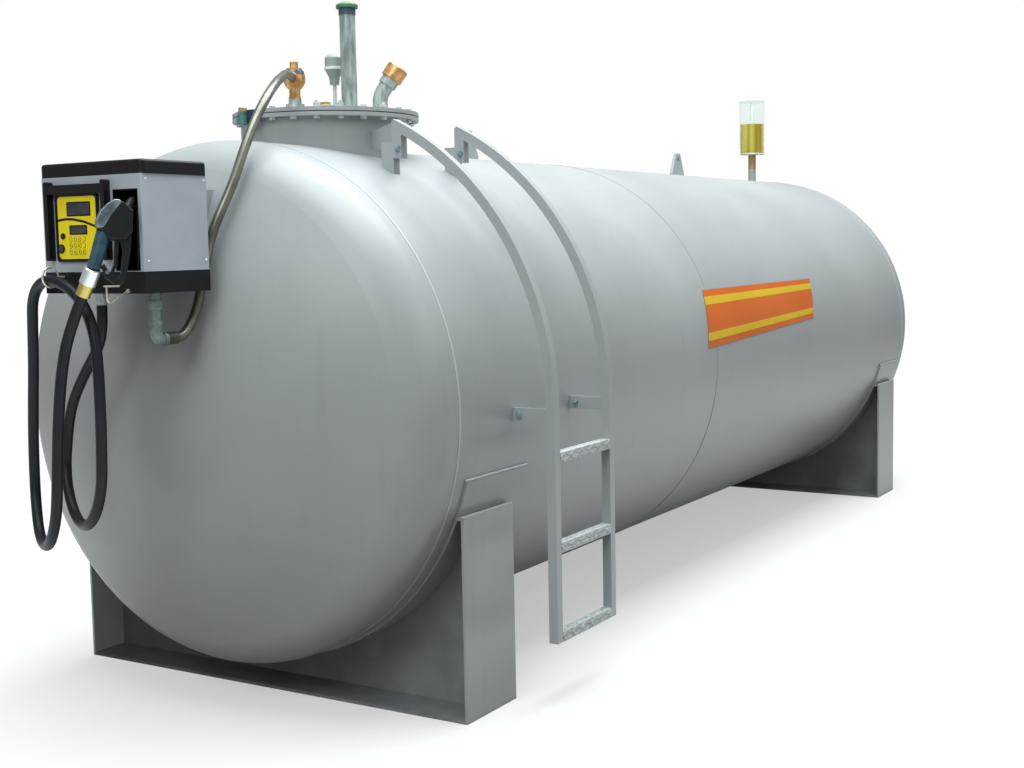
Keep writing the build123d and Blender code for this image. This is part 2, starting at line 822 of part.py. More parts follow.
with BuildPart() as leak_fluid:
    with BuildSketch(Plane.XY.offset(vessel_bottom + vessel_cap)):
        with Locations((leak_x, 0)):
            Circle(vessel_radius - vessel_wall - seat_gap)
            Circle(vessel_tube_radius + seat_gap, mode=Mode.SUBTRACT)
    extrude(amount=fluid_height)
write(leak_fluid.part, "leak_fluid")

with BuildPart() as leak_cover:
    with BuildSketch(Plane.XY.offset(vessel_bottom + vessel_cap + vessel_height)):
        with Locations((leak_x, 0)):
            Circle(vessel_radius)
    extrude(amount=vessel_cap)
write(leak_cover.part, "leak_vessel_cover")

# Dispenser cabinet: base tray, folded housing and lid, hung in front of the front head
cabinet_back_x = cabinet_front_x + cabinet_depth
cabinet_middle = (cabinet_front_x + cabinet_depth / 2, cabinet_y)
housing_bottom = cabinet_bottom + base_height
cabinet_lid_bottom = housing_bottom + housing_height
with BuildPart() as dispenser_base:
    with BuildSketch(Plane.XY.offset(cabinet_bottom)):
        with Locations(cabinet_middle):
            Rectangle(cabinet_depth, cabinet_width)
    extrude(amount=base_height)
    with BuildSketch(Plane.XY.offset(cabinet_bottom + cabinet_sheet)):
        with Locations(cabinet_middle):
            Rectangle(cabinet_depth - 2 * cabinet_sheet, cabinet_width - 2 * cabinet_sheet)
    extrude(amount=base_height, mode=Mode.SUBTRACT)
write(dispenser_base.part, "dispenser_base")

with BuildPart() as dispenser_housing:
    with BuildSketch(Plane.XY.offset(housing_bottom)):
        with Locations(cabinet_middle):
            Rectangle(cabinet_depth, cabinet_width)
    extrude(amount=housing_height)
    fillet(dispenser_housing.edges().filter_by(Axis.Z), radius=4)
    with BuildSketch(Plane.XY.offset(housing_bottom)):
        with Locations(cabinet_middle):
            Rectangle(cabinet_depth - 2 * cabinet_sheet, cabinet_width - 2 * cabinet_sheet)
    extrude(amount=housing_height, mode=Mode.SUBTRACT)
    with BuildSketch(Plane.YZ.offset(cabinet_front_x)):
        with Locations((holster_y, holster_z)):
            Rectangle(holster_width, holster_height)
    extrude(amount=cabinet_sheet, mode=Mode.SUBTRACT)
write(dispenser_housing.part, "dispenser_housing")

with BuildPart() as dispenser_lid:
    with BuildSketch(Plane.XY.offset(cabinet_lid_bottom)):
        with Locations(cabinet_middle):
            Rectangle(cabinet_depth, cabinet_width + 2 * lid_overhang)
    extrude(amount=cabinet_lid_height)
    fillet(dispenser_lid.edges().filter_by(Axis.Z), radius=14)
    fillet(dispenser_lid.faces().sort_by(Axis.Z)[-1].edges(), radius=9)
write(dispenser_lid.part, "dispenser_lid")

# Nozzle holster: an open pocket set in the housing's front
with BuildPart() as nozzle_holster:
    with BuildSketch(Plane.YZ.offset(cabinet_front_x)):
        with Locations((holster_y, holster_z)):
            Rectangle(holster_width - 2 * seat_gap, holster_height - 2 * seat_gap)
    extrude(amount=holster_depth)
    with BuildSketch(Plane.YZ.offset(cabinet_front_x)):
        with Locations((holster_y, holster_z)):
            Rectangle(holster_width - 2 * holster_sheet, holster_height - 2 * holster_sheet)
    extrude(amount=holster_depth - holster_sheet, mode=Mode.SUBTRACT)
write(nozzle_holster.part, "nozzle_holster")

# Control panel and the hood frame round it, on the housing's front
with BuildPart() as control_panel:
    with BuildSketch(Plane.YZ.offset(cabinet_front_x)):
        with Locations((panel_y, panel_z)):
            RectangleRounded(panel_width, panel_height, panel_corner)
    extrude(amount=-panel_thickness)
    with BuildSketch(Plane.YZ.offset(cabinet_front_x - panel_thickness)):
        for display_y, display_z, display_width, display_height in displays:
            with Locations((display_y, display_z)):
                Rectangle(display_width, display_height)
    extrude(amount=display_recess, mode=Mode.SUBTRACT)
    with BuildSketch(Plane.YZ.offset(cabinet_front_x - panel_thickness)):
        with Locations(keys_place):
            with GridLocations(key_pitch_y, key_pitch_z, 4, 3):
                RectangleRounded(key_size, key_size, key_corner)
    extrude(amount=-key_rise)
    with BuildSketch(Plane.YZ.offset(cabinet_front_x - panel_thickness)):
        with Locations(knob_place):
            Circle(knob_radius)
        with Locations(reader_place):
            Circle(reader_radius)
    extrude(amount=-knob_rise)
write(control_panel.part, "control_panel")

with BuildPart() as panel_hood:
    hood_middle_z = hood_top_z - hood_height / 2
    with BuildSketch(Plane.YZ.offset(cabinet_front_x)):
        for hand in (-1, 1):
            with Locations((hood_y + hand * (hood_width - hood_bar) / 2, hood_middle_z)):
                RectangleRounded(hood_bar, hood_height, hood_bar * 0.45)
        with Locations((hood_y, hood_top_z - 10)):
            Rectangle(hood_width - hood_bar, hood_band, align=(Align.CENTER, Align.MAX))
    extrude(amount=-hood_depth)
write(panel_hood.part, "panel_hood")

# Bracket: a back plate on two gussets shaped to the dished end
with BuildPart() as head_form:
    rim = dish_points(shell_start, -1, -seat_gap)
    with BuildSketch(Plane.XZ):
        with BuildLine():
            Line(rim[0], rim[1])
            ThreePointArc(rim[1], rim[2], rim[3])
            ThreePointArc(rim[3], rim[4], rim[5])
            Polyline(rim[5], (rim[0][0], axis_height), rim[0])
        make_face()
    revolve(axis=tank_axis)

with BuildPart() as dispenser_bracket:
    with BuildSketch(Plane.YZ.offset(cabinet_back_x)):
        with Locations((cabinet_y + 35, bracket_bottom)):
            Rectangle(bracket_width, bracket_height, align=(Align.CENTER, Align.MIN))
    extrude(amount=bracket_sheet)
    with BuildSketch(Plane.YZ.offset(cabinet_back_x)):
        for hand in (-1, 1):
            with Locations((cabinet_y + 35 + hand * (bracket_width / 2 - 30), bracket_bottom)):
                Rectangle(bracket_sheet, bracket_height, align=(Align.CENTER, Align.MIN))
    extrude(amount=tank_radius / 2)
    add(head_form.part, mode=Mode.SUBTRACT)
    with BuildSketch(Plane.YZ.offset(shell_start - straight_flange)):
        with Locations((0, axis_height)):
            Rectangle(3 * tank_radius, 3 * tank_radius)
    extrude(amount=tank_radius, mode=Mode.SUBTRACT)
write(dispenser_bracket.part, "dispenser_bracket")

# Hose outlet under the cabinet and the hook that the hose hangs in
with BuildPart() as hose_outlet:
    with BuildSketch(Plane.XY.offset(cabinet_bottom)):
        with Locations(outlet_place):
            RegularPolygon(outlet_radius, 6)
    extrude(amount=-outlet_length * 0.45)
    with BuildSketch(Plane.XY.offset(cabinet_bottom - outlet_length * 0.45)):
        with Locations(outlet_place):
            Circle(hose_radius + 1)
    extrude(amount=-outlet_length * 0.55)
write(hose_outlet.part, "hose_outlet")

with BuildPart() as hose_hook:
    with BuildSketch(Plane(origin=hook_centre, x_dir=(0, 1, 0), z_dir=(0, 0, 1))):
        with Locations((0, -hook_radius)):
            Circle(hook_wire)
    revolve(axis=Axis(hook_centre, (0, 1, 0)))
    with BuildSketch(Plane(origin=(hook_centre[0] + hook_radius, hook_centre[1], hook_centre[2]), z_dir=(1, 0, 0))):
        Circle(hook_wire)
    extrude(amount=cabinet_front_x - hook_centre[0] - hook_radius)
write(hose_hook.part, "hose_hook")

# Hose swivel: a brass end and a zinc nut between the hose and the nozzle
hose_end = (-897.0, -102.0, 1276.0)
swivel_axis = Vector(9, -44, 86).normalized()
swivel_start = Vector(*hose_end)
nut_start = swivel_start + swivel_axis * brass_length
grip_start = nut_start + swivel_axis * nut_length
with BuildPart() as hose_swivel:
    with BuildSketch(Plane(origin=swivel_start, z_dir=swivel_axis)):
        Circle(hose_radius + brass_step)
    extrude(amount=brass_length)
    with BuildSketch(Plane(origin=nut_start, z_dir=swivel_axis)):
        Circle(nut_radius)
    extrude(amount=nut_length)
    chamfer(
        hose_swivel.edges().filter_by(GeomType.CIRCLE).sort_by(Axis(swivel_start, swivel_axis))[-1],
        length=nut_chamfer,
    )
write(hose_swivel.part, "hose_swivel")

# Nozzle: tapered grip, flat body, guard loop round the lever, bent spout down in the holster
nozzle_plane = Plane(origin=grip_start, x_dir=(0.797, -0.604, 0), z_dir=(-0.603, -0.796, 0.054))
body_outline = [
    (16, 108),
    (13, 124),
    (28, 150),
    (64, 178),
    (84, 171),
    (106, 150),
    (102, 94),
    (84, 74),
    (44, 72),
]
guard_outline = [
    (102, 96),
    (95, 40),
    (85, -8),
    (77, -38),
    (70, -44),
    (54, -44),
    (27, -22),
    (23, -2),
    (14, 4),
    (28, 12),
    (37, -5),
    (60, -24),
    (68, -14),
    (76, 44),
    (74, 62),
    (66, 80),
]
lever_outline = [(58, 76), (68, 76), (60, 10), (48, -16), (42, -13), (52, 12)]
spout_start = nozzle_plane.from_local_coords((88, 150, 0))
holster_back = cabinet_front_x + holster_depth
spout_floor = holster_z - holster_height / 2 + holster_sheet + 2 * seat_gap
spout_x = cabinet_front_x + holster_depth * 0.45
with BuildPart() as nozzle:
    with BuildSketch(nozzle_plane):
        with BuildLine():
            Polyline(*body_outline, close=True)
        make_face()
    extrude(amount=nozzle_body_thickness / 2, both=True)
    outer_faces = nozzle.faces().sort_by(Axis(grip_start, nozzle_plane.z_dir))
    fillet(outer_faces[0].edges() + outer_faces[-1].edges(), radius=nozzle_edge)
    with BuildSketch(nozzle_plane):
        with BuildLine():
            Polyline(*guard_outline, close=True)
        make_face()
    extrude(amount=guard_width / 2, both=True)
    with BuildSketch(nozzle_plane):
        with BuildLine():
            Polyline(*lever_outline, close=True)
        make_face()
    extrude(amount=lever_width / 2, both=True)
    grip_top = nozzle_plane.from_local_coords((38, 112, 0))
    with BuildSketch(Plane(origin=grip_start, z_dir=swivel_axis)):
        Circle(grip_foot_radius)
    with BuildSketch(Plane(origin=grip_top, z_dir=grip_top - grip_start)):
        Circle(grip_top_radius)
    loft()
    with BuildLine() as spout_path:
        FilletPolyline(
            spout_start,
            (cabinet_front_x + 2, -176, 1524),
            (spout_x, -160, 1500),
            (spout_x, -152, spout_floor),
            radius=[16, 20],
        )
    with BuildSketch(Plane(origin=spout_start, z_dir=spout_path.line % 0)):
        Circle(spout_radius)
    sweep(path=spout_path.line)
write(nozzle.part, "nozzle")

# Rest under the nozzle's guard: a bent wire from the base tray with a small plate
rest_top = nozzle_plane.from_local_coords((43, -44 - seat_gap, 0))
rest_plane = Plane(origin=rest_top, x_dir=nozzle_plane.x_dir, z_dir=nozzle_plane.y_dir)
with BuildPart() as nozzle_rest:
    with BuildSketch(rest_plane):
        Rectangle(rest_length, rest_width)
    extrude(amount=-rest_sheet)
    rest_foot = rest_plane.from_local_coords((-12, 0, -rest_sheet / 2))
    rest_low = rest_plane.from_local_coords((-12, 0, -rest_drop))
    rest_end = Vector(cabinet_front_x - rest_sheet, rest_y, rest_z)
    with BuildLine() as rest_path:
        FilletPolyline(rest_foot, rest_low, rest_end, radius=12)
    with BuildSketch(Plane(origin=rest_foot, z_dir=rest_path.line % 0)):
        Circle(rest_wire)
    sweep(path=rest_path.line)
    with BuildSketch(Plane.YZ.offset(cabinet_front_x - seat_gap)):
        with Locations((rest_y, rest_z)):
            Circle(rest_flange)
    extrude(amount=-rest_sheet)
write(nozzle_rest.part, "nozzle_rest")

# Suction inlet under the cabinet and the steel pipe up to the valve
elbow_end = inlet_place[0] + elbow_bend + elbow_tail
with BuildPart() as suction_elbow:
    with BuildLine() as elbow_path:
        FilletPolyline(
            (*inlet_place, cabinet_bottom),
            (*inlet_place, elbow_height),
            (elbow_end, inlet_place[1], elbow_height),
            radius=elbow_bend,
        )
    with BuildSketch(Plane.XY.offset(cabinet_bottom)):
        with Locations(inlet_place):
            Circle(inlet_radius)
    sweep(path=elbow_path.line)
    with BuildSketch(Plane.XY.offset(cabinet_bottom - inlet_nut_drop)):
        with Locations(inlet_place):
            RegularPolygon(inlet_nut_radius, 8)
    extrude(amount=-inlet_nut_height)
    with BuildSketch(Plane.XY.offset(cabinet_bottom - inlet_ring_drop)):
        with Locations(inlet_place):
            Circle(inlet_radius + 2)
    extrude(amount=-inlet_ring_height)
    with BuildSketch(Plane.YZ.offset(elbow_end)):
        with Locations((inlet_place[1], elbow_height)):
            Circle(inlet_radius + 2)
    extrude(amount=-inlet_ring_height)
write(suction_elbow.part, "suction_elbow")

pipe_start = (elbow_end, inlet_place[1], elbow_height)
port_end = port_plane.origin + port_plane.z_dir * valve_port_reach
pipe_points = [
    pipe_start,
    (-598.0, -163.0, elbow_height),
    (-545.0, -162.0, 1215.0),
    (-516.0, -166.0, 1320.0),
    (-499.0, -190.0, 1440.0),
    (-436.0, -218.0, 1574.0),
    (-382.0, -215.0, 1672.0),
    (-319.0, -208.0, 1764.0),
    (-241.0, -189.0, 1838.0),
    (-130.0, -131.0, 1890.0),
    (port_end.X - pipe_lead * math.cos(port_turn), port_end.Y - pipe_lead * math.sin(port_turn), port_end.Z),
    (port_end.X, port_end.Y, port_end.Z),
]


def corner_radii(points):
    """The largest arc that each corner's two runs leave room for."""
    radii = []
    for before, corner, after in zip(points, points[1:], points[2:]):
        run_in = Vector(*corner) - Vector(*before)
        run_out = Vector(*after) - Vector(*corner)
        turn = math.radians(run_in.get_angle(run_out))
        radii.append(0.45 * min(run_in.length, run_out.length) / math.tan(turn / 2))
    return radii


pipe_radii = corner_radii(pipe_points)
print("suction pipe radii", [round(r) for r in pipe_radii])
with BuildPart() as suction_pipe:
    with BuildLine() as pipe_path:
        FilletPolyline(*pipe_points, radius=pipe_radii)
    with BuildSketch(Plane(origin=pipe_points[0], z_dir=Vector(*pipe_points[1]) - Vector(*pipe_points[0]))):
        Circle(pipe_radius)
    sweep(path=pipe_path.line)
pipe_length = sum(edge.length for edge in pipe_path.edges())
print("suction pipe volume ratio", suction_pipe.part.volume / (math.pi * pipe_radius**2 * pipe_length))
write(suction_pipe.part, "suction_pipe")

# Dispensing hose: from the outlet in one loop up into the hook, then a second loop to the nozzle
hose_points = [
    (outlet_place[0], outlet_place[1], cabinet_bottom - outlet_length),
    (-670.0, 75.0, 1180.0),
    (-669.0, 95.0, 1122.0),
    (-665.0, 155.0, 1045.0),
    (-662.0, 208.0, 960.0),
    (-661.0, 232.0, 880.0),
    (-666.0, 234.0, 735.0),
    (-718.0, 140.0, 630.0),
    (-790.0, 10.0, 630.0),
    (-842.0, -84.0, 735.0),
    (-848.0, -92.0, 880.0),
    (-852.0, -98.0, 985.0),
    (-850.0, -95.0, 1088.0),
    (-846.0, -82.0, 1184.0),
    (-844.0, -35.0, 1266.0),
    (-838.0, 46.9, 1314.0),
    (-824.0, 141.1, 1314.0),
    (-799.2, 220.2, 1266.9),
    (-775.0, 262.7, 1185.0),
    (-758.0, 283.0, 1070.0),
    (-745.0, 298.0, 950.0),
    (-738.0, 307.0, 820.0),
    (-741.4, 305.5, 679.2),
    (-793.3, 218.9, 579.8),
    (-865.8, 96.5, 579.6),
    (-917.4, 9.2, 679.4),
    (-922.0, -2.0, 820.0),
    (-920.0, -14.0, 960.0),
    (-914.0, -30.0, 1090.0),
    (-906.0, -58.0, 1190.0),
    hose_end,
]
hose_radii = corner_radii(hose_points)
print("hose radii", [round(r) for r in hose_radii])
with BuildPart() as dispensing_hose:
    with BuildLine() as hose_path:
        FilletPolyline(*hose_points, radius=hose_radii)
    with BuildSketch(Plane(origin=hose_points[0], z_dir=Vector(*hose_points[1]) - Vector(*hose_points[0]))):
        Circle(hose_radius)
    sweep(path=hose_path.line)
hose_length = sum(edge.length for edge in hose_path.edges())
print("hose length", round(hose_length))
print("hose volume ratio", dispensing_hose.part.volume / (math.pi * hose_radius**2 * hose_length))
write(dispensing_hose.part, "dispensing_hose")
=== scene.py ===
"""Looks of the horizontal steel storage tank with its ladder, manhole fittings and dispenser.

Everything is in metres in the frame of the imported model: the origin is on the ground under the
front saddle, +X runs to the rear of the tank and the ladder is on the -Y side.
"""
import math
import bmesh
import bpy
from mathutils import Matrix, Vector


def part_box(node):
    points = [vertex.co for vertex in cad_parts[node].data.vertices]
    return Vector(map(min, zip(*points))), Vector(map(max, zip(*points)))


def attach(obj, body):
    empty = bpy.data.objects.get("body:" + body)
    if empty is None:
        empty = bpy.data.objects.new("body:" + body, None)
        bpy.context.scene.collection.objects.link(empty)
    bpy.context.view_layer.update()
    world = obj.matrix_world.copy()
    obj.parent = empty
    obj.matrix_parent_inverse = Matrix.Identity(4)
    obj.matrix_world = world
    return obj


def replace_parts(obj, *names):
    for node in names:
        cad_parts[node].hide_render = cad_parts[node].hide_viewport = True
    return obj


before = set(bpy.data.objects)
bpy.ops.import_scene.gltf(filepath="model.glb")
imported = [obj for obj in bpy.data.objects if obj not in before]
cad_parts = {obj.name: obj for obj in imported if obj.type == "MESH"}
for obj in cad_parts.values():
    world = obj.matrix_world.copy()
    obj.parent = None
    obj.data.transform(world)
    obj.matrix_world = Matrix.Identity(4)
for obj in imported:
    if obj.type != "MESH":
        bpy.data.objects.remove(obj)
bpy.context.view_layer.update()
scene = bpy.context.scene
scene.view_settings.view_transform = "Standard"

# Camera at the viewer's place, a little above the tank's axis and in front of its ladder side.
# A 49.5 mm lens on a 36 mm sensor gives the photograph's framing without any shift.
camera_data = bpy.data.cameras.new("viewer")
camera_data.lens = 49.5
camera_data.sensor_width = 36.0
camera = bpy.data.objects.new("viewer", camera_data)
scene.collection.objects.link(camera)
scene.camera = camera
viewpoint = (-3.4651, -2.9513, 1.3865)
yaw, pitch, roll = 0.5430, -0.0984, -0.0188
ahead = Vector((math.cos(pitch) * math.cos(yaw), math.cos(pitch) * math.sin(yaw), math.sin(pitch)))
sideways = ahead.cross(Vector((0, 0, 1))).normalized()
upward = sideways.cross(ahead)
right = math.cos(roll) * sideways + math.sin(roll) * upward
above = math.cos(roll) * upward - math.sin(roll) * sideways
facing = Matrix((right, above, -ahead)).transposed().to_4x4()
camera.matrix_world = Matrix.Translation(viewpoint) @ facing

# Dispensing hose: 30 mm anti-static delivery hose of black nitrile rubber, about 3.4 m long.
# It leaves the outlet under the cabinet, hangs in a loop up to the wire ring, then in a second
# loop to the swivel under the nozzle, so that its own weight draws every bend wide.


def linear(code):
    """A six-digit sRGB colour as linear red, green, blue and alpha."""
    parts = [int(code[at:at + 2], 16) / 255 for at in (0, 2, 4)]
    return [c / 12.92 if c <= 0.04045 else ((c + 0.055) / 1.055) ** 2.4 for c in parts] + [1.0]


def add_node(tree, kind, sockets=(), links=(), **settings):
    """One shader node with its settings, its socket values and the links that feed it."""
    item = tree.nodes.new(kind)
    for name, value in settings.items():
        setattr(item, name, value)
    for name, value in dict(sockets).items():
        item.inputs[name].default_value = value
    for name, source in dict(links).items():
        tree.links.new(source, item.inputs[name])
    return item


def start_finish(name, metallic, roughness):
    """A new node material, with its tree, its shader and the place that its patterns read."""
    finish = bpy.data.materials.new(name)
    finish.use_nodes = True
    tree = finish.node_tree
    shader = tree.nodes["Principled BSDF"]
    shader.inputs["Metallic"].default_value = metallic
    shader.inputs["Roughness"].default_value = roughness
    return finish, tree, shader, add_node(tree, "ShaderNodeTexCoord").outputs["Object"]


# Extruded rubber is blue-black and half matt, with a bloom of dust in patches 71 mm wide.
# The cloth that it was cured in leaves a grain of about 1.5 mm.
hose_rubber, tree, shader, place = start_finish("black_nitrile_hose", 0.0, 0.43)
shader.inputs["Specular IOR Level"].default_value = 0.3
dust_mm, cloth_mm = 71.4, 1.54
dust = add_node(tree, "ShaderNodeTexNoise", {"Scale": 1000 / dust_mm, "Detail": 5.0}, {"Vector": place})
tones = add_node(tree, "ShaderNodeValToRGB", links={"Fac": dust.outputs["Fac"]})
tones.color_ramp.elements[0].color = linear("060B10")
tones.color_ramp.elements[0].position = 0.35
tones.color_ramp.elements[1].color = linear("0D1822")
tones.color_ramp.elements[1].position = 0.75
tree.links.new(tones.outputs["Color"], shader.inputs["Base Color"])
sheen = add_node(
    tree,
    "ShaderNodeMapRange",
    {"To Min": 0.34, "To Max": 0.52},
    {"Value": dust.outputs["Fac"]},
)
tree.links.new(sheen.outputs["Result"], shader.inputs["Roughness"])
cloth = add_node(tree, "ShaderNodeTexNoise", {"Scale": 1000 / cloth_mm, "Detail": 2.0}, {"Vector": place})
relief = add_node(
    tree,
    "ShaderNodeBump",
    {"Strength": 0.18, "Distance": 0.0006},
    {"Height": cloth.outputs["Fac"]},
)
tree.links.new(relief.outputs["Normal"], shader.inputs["Normal"])

hose_radius = 0.015
hose_route = [
    (-0.6700, 0.0750, 1.2400),
    (-0.6700, 0.0750, 1.1800),
    (-0.6690, 0.0950, 1.1220),
    (-0.6670, 0.1600, 1.0450),
    (-0.6640, 0.2200, 0.9600),
    (-0.6640, 0.2460, 0.8700),
    (-0.6740, 0.2540, 0.7350),
    (-0.7260, 0.1610, 0.6300),
    (-0.7970, 0.0260, 0.6300),
    (-0.8430, -0.0780, 0.7350),
    (-0.8480, -0.0920, 0.8800),
    (-0.8520, -0.0980, 0.9850),
    (-0.8500, -0.0950, 1.0880),
    (-0.8460, -0.0820, 1.1840),
    (-0.8440, -0.0350, 1.2660),
    (-0.8395, 0.0440, 1.3110),
    (-0.8300, 0.1270, 1.3160),
    (-0.8070, 0.1970, 1.2700),
    (-0.7860, 0.2270, 1.1850),
    (-0.7640, 0.2580, 1.0700),
    (-0.7470, 0.2890, 0.9500),
    (-0.7400, 0.3050, 0.8200),
    (-0.7414, 0.3055, 0.6792),
    (-0.7960, 0.2310, 0.5798),
    (-0.8700, 0.1080, 0.5796),
    (-0.9185, 0.0150, 0.6794),
    (-0.9220, -0.0020, 0.8200),
    (-0.9200, -0.0140, 0.9600),
    (-0.9140, -0.0300, 1.0900),
    (-0.9060, -0.0580, 1.1900),
    (-0.8970, -0.1020, 1.2760),
]
hose_curve = bpy.data.curves.new("delivery_hose", "CURVE")
hose_curve.dimensions = "3D"
hose_curve.bevel_depth = hose_radius
hose_curve.bevel_resolution = 8
hose_curve.resolution_u = 16
hose_curve.use_fill_caps = True
hose_line = hose_curve.splines.new("NURBS")
hose_line.points.add(len(hose_route) - 1)
for point, at in zip(hose_line.points, hose_route):
    point.co = (*at, 1.0)
hose_line.order_u = 3
hose_line.use_endpoint_u = True
hose_curve.materials.append(hose_rubber)
hose = bpy.data.objects.new("delivery_hose", hose_curve)
scene.collection.objects.link(hose)
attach(hose, "root")
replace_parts(hose, "dispensing_hose")

# Dished ends, lugs, manhole, ladder, saddle plates and dispenser bracket: welded steel plate and
# tube under two-pack light grey enamel, sprayed over a primer and weathered outdoors.
# It is semi-gloss, with paler chalked patches, thin rain streaks and a faint orange peel.
grey_enamel, tree, shader, place = start_finish("grey_enamel_on_steel", 0.0, 0.38)
chalk_mm, streak_width_mm, streak_length_mm = 769, 33.33, 909
chalk = add_node(tree, "ShaderNodeTexNoise", {"Scale": 1000 / chalk_mm, "Detail": 6.0}, {"Vector": place})
tones = add_node(tree, "ShaderNodeValToRGB", links={"Fac": chalk.outputs["Fac"]})
tones.color_ramp.elements[0].color = linear("9DA2A3")
tones.color_ramp.elements[0].position = 0.3
tones.color_ramp.elements[1].color = linear("AAAFB0")
tones.color_ramp.elements[1].position = 0.75
# Rain streaks are narrow along the tank and long down its wall.
stretch = add_node(
    tree,
    "ShaderNodeMapping",
    {"Scale": (1.0, 1.0, streak_width_mm / streak_length_mm)},
    {"Vector": place},
)
streaks = add_node(
    tree,
    "ShaderNodeTexNoise",
    {"Scale": 1000 / streak_width_mm, "Detail": 4.0},
    {"Vector": stretch.outputs["Vector"]},
)
streak_share = add_node(
    tree,
    "ShaderNodeMapRange",
    {"From Min": 0.56, "From Max": 0.78, "To Min": 0.0, "To Max": 0.16},
    {"Value": streaks.outputs["Fac"]},
)
weathered = add_node(
    tree,
    "ShaderNodeMixRGB",
    {"Color2": linear("86898A")},
    {"Fac": streak_share.outputs["Result"], "Color1": tones.outputs["Color"]},
)
tree.links.new(weathered.outputs["Color"], shader.inputs["Base Color"])
gloss = add_node(
    tree,
    "ShaderNodeMapRange",
    {"To Min": 0.30, "To Max": 0.46},
    {"Value": chalk.outputs["Fac"]},
)
tree.links.new(gloss.outputs["Result"], shader.inputs["Roughness"])
# The orange peel of sprayed enamel is drawn at 6 mm, coarser than it is, so that it shows.
peel_mm = 6.25
peel = add_node(tree, "ShaderNodeTexNoise", {"Scale": 1000 / peel_mm, "Detail": 2.0}, {"Vector": place})
relief = add_node(
    tree,
    "ShaderNodeBump",
    {"Strength": 0.05, "Distance": 0.002},
    {"Height": peel.outputs["Fac"]},
)
tree.links.new(relief.outputs["Normal"], shader.inputs["Normal"])
painted_nodes = [
    "front_head", "rear_head", "front_lifting_lug", "rear_lifting_lug", "manhole_neck",
    "manhole_flange", "manhole_lid", "ladder_front_foot", "ladder_rear_foot", "ladder_front_tie",
    "ladder_rear_tie", "ladder_brace", "ladder_front_stringer", "ladder_rear_stringer",
    "dispenser_bracket",
]
for end in ("front", "rear"):
    for member in ("left_plate", "right_plate", "pad"):
        painted_nodes.append(f"{end}_saddle_{member}")
for name in painted_nodes:
    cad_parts[name].material_slots[0].material = grey_enamel

# Shell courses: rolled steel plate, welded to the dished ends, under the same enamel.
# Over the weld beads of the two end seams a paler stripe 9 mm wide is painted into its colour, a
# painted highlight for the light line that a round bead shows where a seam turns to the sky.
seam_width = 0.009
front_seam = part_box("shell_front_course")[0].x
rear_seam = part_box("shell_rear_course")[1].x
shell_middle = (front_seam + rear_seam) / 2
seam_reach = (rear_seam - front_seam) / 2 - seam_width
seam_highlit_enamel = grey_enamel.copy()
seam_highlit_enamel.name = "grey_enamel_with_painted_seam_highlight"
tree = seam_highlit_enamel.node_tree
shader = tree.nodes["Principled BSDF"]
place = add_node(tree, "ShaderNodeTexCoord").outputs["Object"]
along = add_node(tree, "ShaderNodeSeparateXYZ", links={"Vector": place})
from_middle = add_node(
    tree,
    "ShaderNodeMath",
    {1: shell_middle},
    {0: along.outputs["X"]},
    operation="SUBTRACT",
)
reach = add_node(tree, "ShaderNodeMath", links={0: from_middle.outputs["Value"]}, operation="ABSOLUTE")
on_seam = add_node(
    tree,
    "ShaderNodeMapRange",
    {"From Min": seam_reach, "From Max": seam_reach + 0.001},
    {"Value": reach.outputs["Value"]},
)
painted = shader.inputs["Base Color"].links[0].from_socket
# Painted highlight: the pale stripe over the end seams' weld beads.
painted_seam_highlight = add_node(
    tree,
    "ShaderNodeMixRGB",
    {"Color2": linear("BBC1C3")},
    {"Fac": on_seam.outputs["Result"], "Color1": painted},
)
tree.links.new(painted_seam_highlight.outputs["Color"], shader.inputs["Base Color"])
for name in ("shell_front_course", "shell_rear_course"):
    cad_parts[name].material_slots[0].material = seam_highlit_enamel


def stain(tree, shader, vector, patch_mm, dark, light):
    """Two tones of one finish, mixed in soft patches of a real width; gives back the pattern."""
    pattern = add_node(
        tree,
        "ShaderNodeTexNoise",
        {"Scale": 1000 / patch_mm, "Detail": 4.0},
        {"Vector": vector},
    )
    tones = add_node(tree, "ShaderNodeValToRGB", links={"Fac": pattern.outputs["Fac"]})
    tones.color_ramp.elements[0].color = linear(dark)
    tones.color_ramp.elements[0].position = 0.38
    tones.color_ramp.elements[1].color = linear(light)
    tones.color_ramp.elements[1].position = 0.66
    tree.links.new(tones.outputs["Color"], shader.inputs["Base Color"])
    return pattern.outputs["Fac"]


# Saddle webs and base plates: 8 and 10 mm steel plate, welded, under the same grey enamel.
# It is matt, with soft grime patches 140 mm wide, in colours darkened as painted shade under the tank.
grime_and_shade_enamel, tree, shader, place = start_finish("grey_enamel_with_grime_and_painted_shade", 0.0, 0.7)
# Both tones are darker than the shell's enamel: painted shade under the tank, with grime patches.
stain(tree, shader, place, 143, "7D8284", "8F9496")
grime_with_painted_shade = shader.inputs["Base Color"].links[0].from_socket
across = add_node(tree, "ShaderNodeSeparateXYZ", links={"Vector": place})
# Painted shade darkens the plates towards +Y, the side away from the ladder.
far_side_shade = add_node(
    tree,
    "ShaderNodeMapRange",
    {"From Min": -0.3, "From Max": 0.65, "To Min": 0.0, "To Max": 0.82},
    {"Value": across.outputs["Y"]},
)
grime_and_far_shade = add_node(
    tree,
    "ShaderNodeMixRGB",
    {"Color2": linear("333638")},
    {"Fac": far_side_shade.outputs["Result"], "Color1": grime_with_painted_shade},
)
